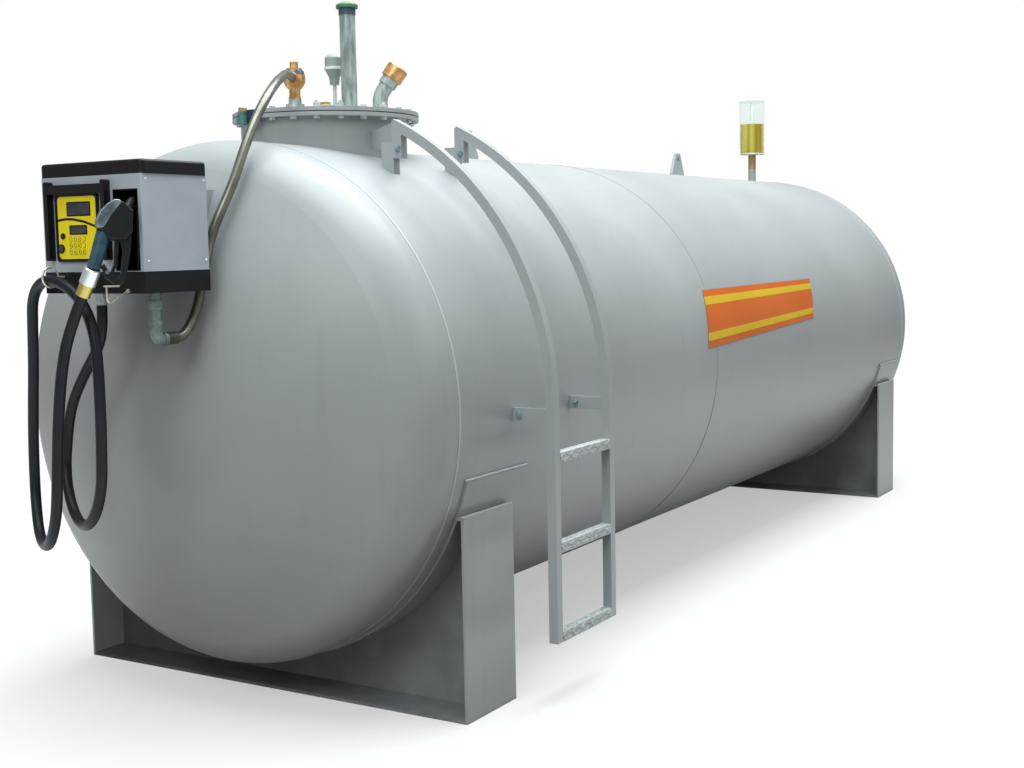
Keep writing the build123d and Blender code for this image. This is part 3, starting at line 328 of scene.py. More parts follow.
# Past the webs, the outer edges of the base plates keep the plain grey enamel, without the painted shade.
web_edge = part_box("front_saddle_web")[1].y
outward = add_node(tree, "ShaderNodeMath", links={0: across.outputs["Y"]}, operation="ABSOLUTE")
past_web = add_node(
    tree,
    "ShaderNodeMapRange",
    {"From Min": web_edge, "From Max": web_edge + 0.006},
    {"Value": outward.outputs["Value"]},
)
shade_ending_at_webs = add_node(
    tree,
    "ShaderNodeMixRGB",
    {"Color2": linear("A3A8A9")},
    {"Fac": past_web.outputs["Result"], "Color1": grime_and_far_shade.outputs["Color"]},
)
tree.links.new(shade_ending_at_webs.outputs["Color"], shader.inputs["Base Color"])
for name in ("front_saddle_web", "front_saddle_base", "rear_saddle_web", "rear_saddle_base"):
    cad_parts[name].material_slots[0].material = grime_and_shade_enamel

# Saddle welds: one run along the top of each pad, one along the top of each side plate.
# Each is a round bead, 8 mm wide on the pads and 6 mm on the plates, that was run by hand and
# painted over. Its paint is drawn paler than the enamel as a painted highlight, and glossier, over ripples
# 8 mm apart.
highlit_weld_enamel, tree, shader, place = start_finish("weld_enamel_with_painted_highlight", 0.0, 0.4)
# Painted highlight: both tones are paler than the enamel, to show the light along the bead.
ripple = stain(tree, shader, place, 8.33, "A9B1B5", "C2CACE")
relief = add_node(tree, "ShaderNodeBump", {"Strength": 0.4, "Distance": 0.001}, {"Height": ripple})
tree.links.new(relief.outputs["Normal"], shader.inputs["Normal"])


def add_piece(name, shape, finish):
    """A finished bmesh as one piece that rides the tank and takes a slot's finish."""
    bmesh.ops.recalc_face_normals(shape, faces=shape.faces)
    mesh = bpy.data.meshes.new(name)
    shape.to_mesh(mesh)
    shape.free()
    mesh.materials.append(finish)
    piece = bpy.data.objects.new(name, mesh)
    scene.collection.objects.link(piece)
    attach(piece, "root")
    return piece


def turned_bar(shape, at, along, radius, length, sides=24, tip=None):
    """A round or six-sided bar from a point along a direction, tapered where a tip is given."""
    along = Vector(along).normalized()
    middle = Vector(at) + along * length / 2
    seat = Matrix.Translation(middle) @ along.to_track_quat("Z", "Y").to_matrix().to_4x4()
    bmesh.ops.create_cone(
        shape,
        cap_ends=True,
        segments=sides,
        radius1=radius,
        radius2=radius if tip is None else tip,
        depth=length,
        matrix=seat,
    )


head_low, head_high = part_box("front_head")
axis_height = (head_low.z + head_high.z) / 2
shell_radius = (head_high.z - head_low.z) / 2
forward, backward = Vector((1, 0, 0)), Vector((-1, 0, 0))
pad_bead, plate_bead, bead_tip = 0.0040, 0.0030, 0.001
pad_drop = math.radians(14.2)
pad_edge_y = (shell_radius + pad_bead) * math.cos(pad_drop)
pad_edge_z = axis_height - (shell_radius + pad_bead) * math.sin(pad_drop)
plate_top_y, plate_top_z = 0.7685, 0.6105
welds = bmesh.new()
for end in ("front", "rear"):
    pad_low, pad_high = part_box(f"{end}_saddle_pad")
    plate_low, plate_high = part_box(f"{end}_saddle_left_plate")
    for hand in (-1, 1):
        for y, z, start, stop, bead in (
            (hand * pad_edge_y, pad_edge_z, pad_low.x, pad_high.x, pad_bead),
            (hand * plate_top_y, plate_top_z, plate_low.x + 0.001, plate_high.x - 0.001, plate_bead),
        ):
            turned_bar(welds, (start, y, z), forward, bead, stop - start, sides=16)
            turned_bar(welds, (start, y, z), backward, bead, bead, sides=16, tip=bead_tip)
            turned_bar(welds, (stop, y, z), forward, bead, bead, sides=16, tip=bead_tip)
add_piece("saddle_welds", welds, highlit_weld_enamel)

# Flange bolts: M12 bolts through flange, gasket and lid on a 570 mm circle, 15 degrees apart.
# Most are put in from above, with the nut below; four stand the other way up, so that the nut and
# 7 mm of thread are on the lid. The sensor socket takes the place of one bolt.
up, down = Vector((0, 0, 1)), Vector((0, 0, -1))
flange_centre = Vector((0.257, -0.009, 0.0))
flange_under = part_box("manhole_flange")[0].z
lid_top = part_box("manhole_lid")[1].z
bolt_circle, bolt_count, first_bolt = 0.285, 24, math.radians(2.5)
nut_corner, washer_radius, thread_radius = 0.0108, 0.0125, 0.006
head_height, nut_under, nut_above, washer_height, thread_end = 0.0075, 0.0085, 0.010, 0.002, 0.007
sensor_number, nuts_on_lid = 11, (13, 14, 15, 17)
bolts = bmesh.new()
for number in range(bolt_count):
    if number == sensor_number:
        continue
    turn = first_bolt + math.radians(360 / bolt_count) * number
    at = flange_centre + bolt_circle * Vector((math.cos(turn), math.sin(turn), 0))
    turned_bar(bolts, at + flange_under * up, down, nut_corner, nut_under, sides=6)
    seat = at + lid_top * up
    if number in nuts_on_lid:
        nut_seat = seat + washer_height * up
        turned_bar(bolts, seat, up, washer_radius, washer_height)
        turned_bar(bolts, nut_seat, up, nut_corner, nut_above, sides=6)
        turned_bar(bolts, nut_seat + nut_above * up, up, thread_radius, thread_end, sides=12)
    else:
        turned_bar(bolts, seat, up, nut_corner, head_height, sides=6)
# Bright zinc plate is pale and half bright, and mottles in spots 11 mm wide.
zinc_plate, tree, shader, place = start_finish("bright_zinc_plate", 0.5, 0.4)
stain(tree, shader, place, 11.1, "C4CDCB", "E6ECEA")
add_piece("flange_bolts", bolts, zinc_plate)

# Manhole gasket: a 3 mm ring cut from black nitrile sheet, clamped between flange and lid.
# It is matt and shows as a thin dark line, a little greyer in patches 25 mm wide.
gasket_rubber, tree, shader, place = start_finish("nitrile_gasket", 0.0, 0.7)
stain(tree, shader, place, 25, "141618", "222528")
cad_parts["manhole_gasket"].material_slots[0].material = gasket_rubber

# Fill pipe and valve foot: hot-dip galvanised gas pipe, screwed into sockets on the lid.
# The zinc is dull, with run marks down the pipe, 8 mm wide and 110 mm long.
galvanised, tree, shader, place = start_finish("hot_dip_galvanised_pipe", 0.35, 0.55)
run_width_mm, run_length_mm = 8.33, 111
runs = add_node(
    tree,
    "ShaderNodeMapping",
    {"Scale": (1.0, 1.0, run_width_mm / run_length_mm)},
    {"Vector": place},
)
marks = stain(tree, shader, runs.outputs["Vector"], run_width_mm, "919F9A", "BCC8C3")
relief = add_node(tree, "ShaderNodeBump", {"Strength": 0.2, "Distance": 0.001}, {"Height": marks})
tree.links.new(relief.outputs["Normal"], shader.inputs["Normal"])
for name in ("fill_pipe", "suction_valve_foot"):
    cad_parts[name].material_slots[0].material = galvanised

# Vent pipe: the same galvanised pipe, taller, so it stands more in the weather.
# Its zinc has turned darker, in blotches 12 mm wide and 60 mm long.
weathered_zinc, tree, shader, place = start_finish("weathered_zinc_pipe", 0.3, 0.6)
blotch_width_mm, blotch_length_mm = 12.5, 62.5
runs = add_node(
    tree,
    "ShaderNodeMapping",
    {"Scale": (1.0, 1.0, blotch_width_mm / blotch_length_mm)},
    {"Vector": place},
)
marks = stain(tree, shader, runs.outputs["Vector"], blotch_width_mm, "7B8885", "AEBAB6")
relief = add_node(tree, "ShaderNodeBump", {"Strength": 0.2, "Distance": 0.001}, {"Height": marks})
tree.links.new(relief.outputs["Normal"], shader.inputs["Normal"])
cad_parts["vent_pipe"].material_slots[0].material = weathered_zinc

# Vent cap: a mushroom moulded in green plastic on a dark slate sleeve, pushed over the pipe.
# It is half matt, and the sun has bleached its crown to a yellow green.
vent_plastic, tree, shader, place = start_finish("sun_bleached_green_plastic", 0.0, 0.5)
cap_low, cap_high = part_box("vent_cap")
height = add_node(tree, "ShaderNodeSeparateXYZ", links={"Vector": place})
rise = add_node(
    tree,
    "ShaderNodeMapRange",
    {"From Min": cap_low.z, "From Max": cap_high.z},
    {"Value": height.outputs["Z"]},
)
tones = add_node(tree, "ShaderNodeValToRGB", links={"Fac": rise.outputs["Result"]})
for share, code in ((0.46, "45585F"), (0.49, "3C6A58"), (0.74, "5B8C70"), (0.9, "6F9434")):
    tones.color_ramp.elements.new(share).color = linear(code)
tones.color_ramp.elements[0].color = linear("45585F")
tones.color_ramp.elements[-1].color = linear("7FA23C")
tree.links.new(tones.outputs["Color"], shader.inputs["Base Color"])
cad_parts["vent_cap"].material_slots[0].material = vent_plastic

# Fill cap and suction valve: cast and turned brass, screwed on their pipes.
# It has dulled to a warm orange where hands don't reach, in patches 17 mm wide on a sandy skin.
cast_brass, tree, shader, place = start_finish("cast_brass", 0.6, 0.38)
sand = stain(tree, shader, place, 16.7, "B9854C", "E0B580")
relief = add_node(tree, "ShaderNodeBump", {"Strength": 0.15, "Distance": 0.0008}, {"Height": sand})
tree.links.new(relief.outputs["Normal"], shader.inputs["Normal"])
for name in ("fill_cap", "suction_valve"):
    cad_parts[name].material_slots[0].material = cast_brass

# Valve ring and collars: a turned ring of blued steel holds the upper half of the valve's ball,
# and hexagon collars of the same brass are screwed on above and below it.
# Blued steel is a dark blue-grey with a soft shine.
blued_steel, tree, shader, place = start_finish("blued_steel_ring", 0.8, 0.35)
stain(tree, shader, place, 12.5, "5D6873", "93A0AA")
foot_low, foot_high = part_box("suction_valve_foot")
valve_foot = Vector(((foot_low.x + foot_high.x) / 2, (foot_low.y + foot_high.y) / 2, lid_top))
ring_lift, ring_radius, ring_top_radius, ring_height = 0.130, 0.0345, 0.0315, 0.013
ring = bmesh.new()
turned_bar(ring, valve_foot + ring_lift * up, up, ring_radius, ring_height, sides=40, tip=ring_top_radius)
add_piece("valve_ring", ring, blued_steel)
collar = bmesh.new()
for lift, corner, thickness in ((0.145, 0.0285, 0.006), (0.052, 0.0215, 0.008)):
    turned_bar(collar, valve_foot + lift * up, up, corner, thickness, sides=6)
add_piece("valve_collar", collar, cast_brass)

# Lid plug: a flat turned brass plug, screwed into a socket in the lid.
# It has weathered to a pale green, with brass showing in patches 22 mm wide.
green_brass, tree, shader, place = start_finish("weathered_green_brass", 0.3, 0.55)
stain(tree, shader, place, 22.2, "8FA291", "B9A877")
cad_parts["lid_plug"].material_slots[0].material = green_brass

# Level gauge: a head moulded in grey-green plastic with a white ring, on a pale stem.
# It is screwed into the lid, half glossy, and its parts are told apart by height alone.
gauge_plastic, tree, shader, place = start_finish("moulded_gauge_plastic", 0.0, 0.4)
gauge_low, gauge_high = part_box("level_gauge")
height = add_node(tree, "ShaderNodeSeparateXYZ", links={"Vector": place})
rise = add_node(
    tree,
    "ShaderNodeMapRange",
    {"From Min": gauge_low.z, "From Max": gauge_high.z},
    {"Value": height.outputs["Z"]},
)
tones = add_node(tree, "ShaderNodeValToRGB", links={"Fac": rise.outputs["Result"]})
tones.color_ramp.interpolation = "CONSTANT"
for share, code in ((0.50, "8FA19B"), (0.735, "E6ECEA"), (0.785, "99A9A4"), (0.94, "A3B0AC")):
    tones.color_ramp.elements.new(share).color = linear(code)
tones.color_ramp.elements[0].color = linear("C9D5D2")
tones.color_ramp.elements[-1].color = linear("A3B0AC")
tree.links.new(tones.outputs["Color"], shader.inputs["Base Color"])
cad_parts["level_gauge"].material_slots[0].material = gauge_plastic

# Overfill sensor socket: a turned body under green lacquer, with a screw cap of bare brass.
# A navy clamp of moulded nylon, with rounded edges, holds it on the rim of the flange.
sensor_lacquer, tree, shader, place = start_finish("green_lacquer_and_brass", 0.3, 0.4)
socket_low, socket_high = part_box("sensor_socket")
height = add_node(tree, "ShaderNodeSeparateXYZ", links={"Vector": place})
rise = add_node(
    tree,
    "ShaderNodeMapRange",
    {"From Min": socket_low.z, "From Max": socket_high.z},
    {"Value": height.outputs["Z"]},
)
tones = add_node(tree, "ShaderNodeValToRGB", links={"Fac": rise.outputs["Result"]})
tones.color_ramp.interpolation = "CONSTANT"
tones.color_ramp.elements[0].color = linear("4F8078")
tones.color_ramp.elements[1].position = 0.75
tones.color_ramp.elements[1].color = linear("AF9468")
tree.links.new(tones.outputs["Color"], shader.inputs["Base Color"])
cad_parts["sensor_socket"].material_slots[0].material = sensor_lacquer
# Glass-filled nylon is half glossy, with flow marks 8 mm wide.
navy_plastic, tree, shader, place = start_finish("navy_glass_filled_nylon", 0.0, 0.4)
stain(tree, shader, place, 8.33, "13233F", "1F3459")
clamp_reach, clamp_height, clamp_turn = 0.306, 1.803, math.radians(171)
clamp_size, clamp_corner = (0.034, 0.034, 0.040), 0.004
clamp_at = flange_centre + clamp_reach * Vector((math.cos(clamp_turn), math.sin(clamp_turn), 0))
clamp_seat = (
    Matrix.Translation((clamp_at.x, clamp_at.y, clamp_height))
    @ Matrix.Rotation(clamp_turn, 4, "Z")
    @ Matrix.Diagonal((*clamp_size, 1.0))
)
clamp = bmesh.new()
bmesh.ops.create_cube(clamp, size=1.0, matrix=clamp_seat)
bmesh.ops.bevel(
    clamp,
    geom=clamp.edges[:],
    offset=clamp_corner,
    segments=2,
    profile=0.5,
    affect="EDGES",
    material=-1,
)
add_piece("sensor_clamp", clamp, navy_plastic)

# Suction pipe: bent steel tube with a clear olive passivation, still glossy, crimped at its lower
# end in a ferrule of seven ribs. Its elbow and union are malleable iron, cast in sand and zinc
# plated to a dull grey green, and screwed under the cabinet.
olive_tube, tree, shader, place = start_finish("olive_passivated_tube", 0.8, 0.33)
stain(tree, shader, place, 111, "67695E", "8A8B80")
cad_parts["suction_pipe"].material_slots[0].material = olive_tube
malleable_iron, tree, shader, place = start_finish("zinc_plated_malleable_iron", 0.45, 0.45)
sand = stain(tree, shader, place, 14.3, "6D7D79", "84938E")
relief = add_node(tree, "ShaderNodeBump", {"Strength": 0.25, "Distance": 0.0008}, {"Height": sand})
tree.links.new(relief.outputs["Normal"], shader.inputs["Normal"])
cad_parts["suction_elbow"].material_slots[0].material = malleable_iron
pipe_mouth = Vector((-0.667, -0.163, 1.150))
rib_radius, rib_width, rib_step = 0.0175, 0.0035, 0.006
ferrule = bmesh.new()
for number in range(7):
    turned_bar(ferrule, pipe_mouth + rib_step * number * forward, forward, rib_radius, rib_width, sides=32)
add_piece("pipe_ferrule", ferrule, olive_tube)

# Leak indicator: a beaker with its lid turned from acrylic tube, glued on a screwed steel pipe.
# It holds yellow test fluid, whose level falls when a wall leaks.
smear_mm, band_width_mm, band_length_mm, rust_mm = 33.3, 30.3, 1010, 22.2
pipe_foot, pipe_top = 1.715, 2.015
# The acrylic is clear, with smears 33 mm wide. Its IOR is set under the real 1.49, so that the
# edges of the thin wall don't darken.
clear_acrylic, tree, shader, place = start_finish("clear_acrylic", 0.0, 0.05)
shader.inputs["Base Color"].default_value = linear("F4FAF8")
shader.inputs["Transmission Weight"].default_value = 1.0
shader.inputs["IOR"].default_value = 1.2
smears = add_node(tree, "ShaderNodeTexNoise", {"Scale": 1000 / smear_mm, "Detail": 3.0}, {"Vector": place})
haze = add_node(
    tree,
    "ShaderNodeMapRange",
    {"To Min": 0.02, "To Max": 0.09},
    {"Value": smears.outputs["Fac"]},
)
tree.links.new(haze.outputs["Result"], shader.inputs["Roughness"])
for name in ("leak_vessel", "leak_vessel_cover"):
    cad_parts[name].material_slots[0].material = clear_acrylic
# Painted highlights and shade: upright light and dark bands in the fluid, 30 mm wide, as the round wall
# draws them.
test_fluid, tree, shader, place = start_finish("yellow_test_fluid", 0.0, 0.12)
upright = add_node(
    tree,
    "ShaderNodeMapping",
    {"Scale": (1.0, 1.0, band_width_mm / band_length_mm)},
    {"Vector": place},
)
stain(tree, shader, upright.outputs["Vector"], band_width_mm, "B08D18", "EADB62")
shader.inputs["Transmission Weight"].default_value = 0.35
shader.inputs["IOR"].default_value = 1.33
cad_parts["leak_fluid"].material_slots[0].material = test_fluid
# The pipe is grey at its foot and rusty above, with a ragged edge, and clean inside the beaker.
rusty_pipe, tree, shader, place = start_finish("rust_stained_steel_pipe", 0.3, 0.6)
height = add_node(tree, "ShaderNodeSeparateXYZ", links={"Vector": place})
rise = add_node(
    tree,
    "ShaderNodeMapRange",
    {"From Min": pipe_foot, "From Max": pipe_top},
    {"Value": height.outputs["Z"]},
)
rust = add_node(tree, "ShaderNodeTexNoise", {"Scale": 1000 / rust_mm, "Detail": 4.0}, {"Vector": place})
ragged = add_node(
    tree,
    "ShaderNodeMath",
    {1: 0.10},
    {0: rust.outputs["Fac"], 2: rise.outputs["Result"]},
    operation="MULTIPLY_ADD",
)
tones = add_node(tree, "ShaderNodeValToRGB", links={"Fac": ragged.outputs["Value"]})
for share, code in ((0.27, "98A2A2"), (0.31, "A98457"), (0.53, "A98457")):
    tones.color_ramp.elements.new(share).color = linear(code)
tones.color_ramp.elements[0].color = linear("98A2A2")
tones.color_ramp.elements[-1].color = linear("DDE6DC")
tones.color_ramp.elements[-1].position = 0.56
tree.links.new(tones.outputs["Color"], shader.inputs["Base Color"])
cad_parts["leak_standpipe"].material_slots[0].material = rusty_pipe

# Plain panel on the shell: an orange vinyl sheet with two plain yellow bands stuck on it.
# The sheets are 0.3 mm thick and follow the rolled plate 2 mm off it, so that they clear the weld
# bead between the courses. Cast vinyl is half matt and faded in patches 330 mm wide.
orange_vinyl, tree, shader, place = start_finish("orange_vinyl_sheet", 0.0, 0.45)
shader.inputs["Specular IOR Level"].default_value = 0.25
stain(tree, shader, place, 333, "D06216", "D86B1D")
yellow_vinyl, tree, shader, place = start_finish("yellow_vinyl_sheet", 0.0, 0.45)
shader.inputs["Specular IOR Level"].default_value = 0.25
stain(tree, shader, place, 333, "D6B312", "DEBD1C")
sheet_thickness = 0.0003
panel_radius = shell_radius + 0.0020
band_radius = panel_radius + sheet_thickness
lower_left, upper_left = Vector((1.5775, 0.974)), Vector((1.6335, 1.198))
lower_right, upper_right = Vector((2.8085, 1.028)), Vector((2.8865, 1.205))


def shell_sheet(name, low, high, radius, finish):
    """A thin sheet on the shell between two heights of the panel, each as a share of it."""
    sheet = bmesh.new()
    bmesh.ops.create_grid(sheet, x_segments=24, y_segments=8, size=0.5)
    for vert in sheet.verts:
        share = low + (high - low) * (vert.co.y + 0.5)
        left = lower_left.lerp(upper_left, share)
        x, z = left.lerp(lower_right.lerp(upper_right, share), vert.co.x + 0.5)
        vert.co = (x, -math.sqrt(radius**2 - (z - axis_height) ** 2), z)
    bmesh.ops.recalc_face_normals(sheet, faces=sheet.faces)
    bmesh.ops.solidify(sheet, geom=sheet.faces[:], thickness=sheet_thickness)
    add_piece(name, sheet, finish)


shell_sheet("orange_panel", 0.0, 1.0, panel_radius, orange_vinyl)
shell_sheet("lower_yellow_band", 0.12, 0.26, band_radius, yellow_vinyl)
shell_sheet("upper_yellow_band", 0.74, 0.88, band_radius, yellow_vinyl)

# Treads: folded chequer plate, welded between the stringers, with crossed ribs every 58 mm.
# Each plate's front is pressed back behind its ribs, so that they end at the tread's own size.
# The enamel is pale and dull on plate and ribs, in patches 17 mm wide: part boot wear, part a painted
# highlight.
worn_and_highlit_tread, tree, shader, place = start_finish("worn_and_highlit_enamel_on_treads", 0.0, 0.5)
# Painted highlight and wear: both tones are paler than the enamel of the stringers.
stain(tree, shader, place, 16.7, "A9AFB1", "CBD1D3")
rib_height, rib_half_length, rib_half_width, rib_crown = 0.0012, 0.0440, 0.0042, 0.6
rib_pitch, rib_rise, end_gap = 0.058, 0.027, 0.0005
ribs = bmesh.new()
for step in range(3):
    node = f"ladder_tread_{step + 1}"
    low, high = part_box(node)
    middle = (low + high) / 2
    tread = bmesh.new()
    tread.from_mesh(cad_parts[node].data)
    bmesh.ops.remove_doubles(tread, verts=tread.verts, dist=1e-5)
    pressed = [vert for vert in tread.verts if vert.co.y < low.y + 0.0005]
    bmesh.ops.translate(tread, verts=pressed, vec=(0, rib_height, 0))
    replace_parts(add_piece(f"tread_plate_{step + 1}", tread, worn_and_highlit_tread), node)
    for column in range(6):
        x = low.x + rib_pitch * column
        top = Matrix.Translation((x, middle.y, high.z + rib_height / 2))
        front = (
            Matrix.Translation((x, low.y + rib_height / 2, middle.z))
            @ Matrix.Rotation(math.radians(90), 4, "X")
        )
        for hand in (-1, 1):
            lean = (
                Matrix.Rotation(hand * math.atan2(rib_rise, rib_pitch), 4, "Z")
                @ Matrix.Diagonal((rib_half_length, rib_half_width, 1.0, 1.0))
                @ Matrix.Rotation(math.radians(45), 4, "Z")
            )
            for seat in (top, front):
                bmesh.ops.create_cone(
                    ribs,
                    cap_ends=True,
                    segments=4,
                    radius1=1.0,
                    radius2=rib_crown,
                    depth=rib_height,
                    matrix=seat @ lean,
                )
for end_x, outward in ((low.x + end_gap, -1), (high.x - end_gap, 1)):
    cut = bmesh.ops.bisect_plane(
        ribs,
        geom=ribs.verts[:] + ribs.edges[:] + ribs.faces[:],
        dist=1e-6,
        plane_co=(end_x, 0, 0),
        plane_no=(outward, 0, 0),
        clear_outer=True,
    )
    rims = [item for item in cut["geom_cut"] if isinstance(item, bmesh.types.BMEdge)]
    bmesh.ops.holes_fill(ribs, edges=rims, sides=0)
add_piece("tread_ribs", ribs, worn_and_highlit_tread)

# Ladder bolts: one M10 through each leg into its foot, one M10 through each stringer into its tie.
# Each has a washer, a hexagon nut and 6 mm of thread on the side that faces the dispenser.
# Blue passivated zinc has a cold blue-green shine, mottled in spots 11 mm wide.
blue_zinc, tree, shader, place = start_finish("blue_passivated_zinc", 0.6, 0.35)
stain(tree, shader, place, 11.1, "7E979F", "B4C6CB")
washer_radius, nut_corner, thread_radius = 0.0105, 0.0098, 0.005
washer_height, nut_height, thread_end = 0.002, 0.007, 0.006
ladder_bolts = bmesh.new()
for side in ("front", "rear"):
    leg_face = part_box(f"ladder_{side}_stringer")[0].x
    tie_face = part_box(f"ladder_{side}_tie")[0].x
    for seat in (Vector((leg_face, -0.414, 1.686)), Vector((tie_face, -0.822, 0.885))):
        nut_seat = seat + washer_height * backward
        turned_bar(ladder_bolts, seat, backward, washer_radius, washer_height)
        turned_bar(ladder_bolts, nut_seat, backward, nut_corner, nut_height, sides=6)
        thread_seat = nut_seat + nut_height * backward
        turned_bar(ladder_bolts, thread_seat, backward, thread_radius, thread_end, sides=12)
add_piece("ladder_bolts", ladder_bolts, blue_zinc)

# Dispenser cabinet: folded steel sheet, silver powder coat on the housing and black on base,
# lid, holster, hood and panel. Four screws on each side hold the housing to its frame.
# A powder coat is half matt, with a fine even grain that is drawn at 2 mm so that it shows.
powder_mm = 2
silver_coat, tree, shader, place = start_finish("silver_powder_coat", 0.3, 0.42)
stain(tree, shader, place, 200, "AFB8C0", "BBC4CB")
powder = add_node(tree, "ShaderNodeTexNoise", {"Scale": 1000 / powder_mm, "Detail": 2.0}, {"Vector": place})
relief = add_node(
    tree,
    "ShaderNodeBump",
    {"Strength": 0.1, "Distance": 0.0005},
    {"Height": powder.outputs["Fac"]},
)
tree.links.new(relief.outputs["Normal"], shader.inputs["Normal"])
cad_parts["dispenser_housing"].material_slots[0].material = silver_coat
black_coat, tree, shader, place = start_finish("black_powder_coat", 0.0, 0.42)
shader.inputs["Specular IOR Level"].default_value = 0.3
stain(tree, shader, place, 167, "070609", "0D0C10")
powder = add_node(tree, "ShaderNodeTexNoise", {"Scale": 1000 / powder_mm, "Detail": 2.0}, {"Vector": place})
relief = add_node(
    tree,
    "ShaderNodeBump",
    {"Strength": 0.12, "Distance": 0.0005},
    {"Height": powder.outputs["Fac"]},
)
tree.links.new(relief.outputs["Normal"], shader.inputs["Normal"])
for name in ("dispenser_base", "dispenser_lid", "nozzle_holster", "panel_hood", "control_panel"):
    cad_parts[name].material_slots[0].material = black_coat
housing_low, housing_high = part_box("dispenser_housing")
screw_radius, screw_crown, screw_height = 0.0042, 0.003, 0.002
cabinet_screws = bmesh.new()
for x in (housing_low.x + 0.017, housing_high.x - 0.011):
    for z in (housing_low.z + 0.026, housing_high.z - 0.014):
        for y, hand in ((housing_low.y, -1), (housing_high.y, 1)):
            at, outward = (x, y, z), (0, hand, 0)
            turned_bar(cabinet_screws, at, outward, screw_radius, screw_height, sides=16, tip=screw_crown)
add_piece("cabinet_screws", cabinet_screws, zinc_plate)

# Keypad: two fields of yellow polyester film stuck on the black panel, parted by a black arc.
# Under its windows are grey liquid-crystal displays, and twelve soft keys carry printed digits.
# Its sizes are in millimetres from the panel's middle. The film is half glossy and evenly bright.
yellow_film, tree, shader, place = start_finish("yellow_polyester_film", 0.0, 0.35)
stain(tree, shader, place, 50, "FDE208", "FFEA10")
panel_low, panel_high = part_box("control_panel")
panel_middle = (panel_low + panel_high) / 2
rim_depth = 0.004
keys_middle_u, keys_middle_v, key_pitch_u, key_pitch_v = 0.5, -47.5, 17, 17.5
panel_frame = Matrix((
    (0, 0, -1, panel_low.x + rim_depth),
    (-1, 0, 0, panel_middle.y),
    (0, 1, 0, panel_middle.z),
    (0, 0, 0, 1),
))


def plate(shape, outline, seat, low, high):
    """A flat plate from an outline in millimetres, between two levels of a seat."""
    corners = [shape.verts.new(seat @ Vector((u / 1000, v / 1000, low / 1000))) for u, v in outline]
    raised = bmesh.ops.extrude_face_region(shape, geom=[shape.faces.new(corners)])
    lift = seat.to_3x3() @ Vector((0, 0, (high - low) / 1000))
    lifted = [item for item in raised["geom"] if isinstance(item, bmesh.types.BMVert)]
    bmesh.ops.translate(shape, verts=lifted, vec=lift)


def box_outline(u, v, width, height, corner):
    """A rectangle with cut corners, from its middle and its sides."""
    a, b, c = width / 2, height / 2, corner
    return [
        (u - a + c, v - b), (u + a - c, v - b), (u + a, v - b + c), (u + a, v + b - c),
        (u + a - c, v + b), (u - a + c, v + b), (u - a, v + b - c), (u - a, v - b + c),
    ]


def key_middle(number):
    """The middle of a key on the panel, counted along the rows from the top left."""
    column, row = number % 4, number // 4
    return keys_middle_u + (column - 1.5) * key_pitch_u, keys_middle_v + (1 - row) * key_pitch_v


key_side, key_corner, key_rise, rim_side, rim_corner = 11.6, 2.6, 1.9, 13.4, 3.2
film_level, bezel_level, glass_level = 0.3, 0.6, 0.8
upper_field = [
    (-70, 25), (-40, 28), (-11, 27), (30, 20), (66, 9), (76, 4), (76, 76), (73, 82), (66, 85),
    (-60, 85), (-67, 82), (-70, 75),
]
lower_field = [
    (-70, -74), (-67, -80), (-60, -83), (66, -83), (73, -80), (76, -74), (76, -3), (66, 2),
    (30, 13), (-11, 20), (-40, 21), (-70, 18),
]
film = bmesh.new()
plate(film, upper_field, panel_frame, 0.0, film_level)
plate(film, lower_field, panel_frame, 0.0, film_level)
bezels = bmesh.new()
for number in range(12):
    u, v = key_middle(number)
    plate(film, box_outline(u, v, key_side, key_side, key_corner), panel_frame, 0.0, key_rise)
    plate(bezels, box_outline(u, v, rim_side, rim_side, rim_corner), panel_frame, film_level, bezel_level)
add_piece("keypad_film", film, yellow_film)
for u, v, width, height in ((11, 51, 92, 39), (7, -5, 69, 26)):
    plate(bezels, box_outline(u, v, width, height, 2), panel_frame, 0.0, bezel_level)
add_piece("bezels_and_key_rims", bezels, black_coat)
# The displays are dark grey and glossy, a little cloudy in patches 40 mm wide.
display_glass, tree, shader, place = start_finish("grey_liquid_crystal_window", 0.0, 0.12)
stain(tree, shader, place, 40, "33383B", "4A5153")
windows = bmesh.new()
for u, v, width, height in ((11, 51, 84, 31), (7, -5, 61, 19)):
    plate(windows, box_outline(u, v, width, height, 1), panel_frame, bezel_level, glass_level)
add_piece("display_windows", windows, display_glass)
# Screen ink is matt black, thinner in spots 5 mm wide.
key_ink, tree, shader, place = start_finish("black_screen_ink", 0.0, 0.6)
stain(tree, shader, place, 5, "1B1B18", "2B2A24")
digit_height, digit_swell, digit_thickness, digit_level = 0.0100, 0.0002, 0.0001, 0.0020
ink = bmesh.new()
for number, digit in enumerate("123 456 7890"):
    if digit == " ":
        continue
    letter = bpy.data.curves.new("key_digit", "FONT")
    letter.body = digit
    letter.size = digit_height
    letter.offset = digit_swell
    letter.extrude = digit_thickness
    letter.align_x = "CENTER"
    letter.align_y = "CENTER"
    letter.resolution_u = 3
    holder = bpy.data.objects.new("key_digit", letter)
    scene.collection.objects.link(holder)
    bpy.context.view_layer.update()
    drawn = bpy.data.meshes.new_from_object(holder.evaluated_get(bpy.context.evaluated_depsgraph_get()))
    u, v = key_middle(number)
    drawn.transform(panel_frame @ Matrix.Translation((u / 1000, v / 1000, digit_level)))
    ink.from_mesh(drawn)
    bpy.data.objects.remove(holder)
    bpy.data.curves.remove(letter)
    bpy.data.meshes.remove(drawn)
add_piece("key_digits", ink, key_ink)
reader_at = panel_frame @ Vector((-0.060, -0.055, 0.004))
reader_radius, reader_crown, reader_height = 0.0085, 0.0075, 0.0006
button_at = panel_frame @ Vector((-0.052, -0.021, 0.004))
button_radius, button_height = 0.0030, 0.0010
reader_face = bmesh.new()
turned_bar(reader_face, reader_at, backward, reader_radius, reader_height, sides=32, tip=reader_crown)
turned_bar(reader_face, button_at, backward, button_radius, button_height)
add_piece("reader_face", reader_face, display_glass)

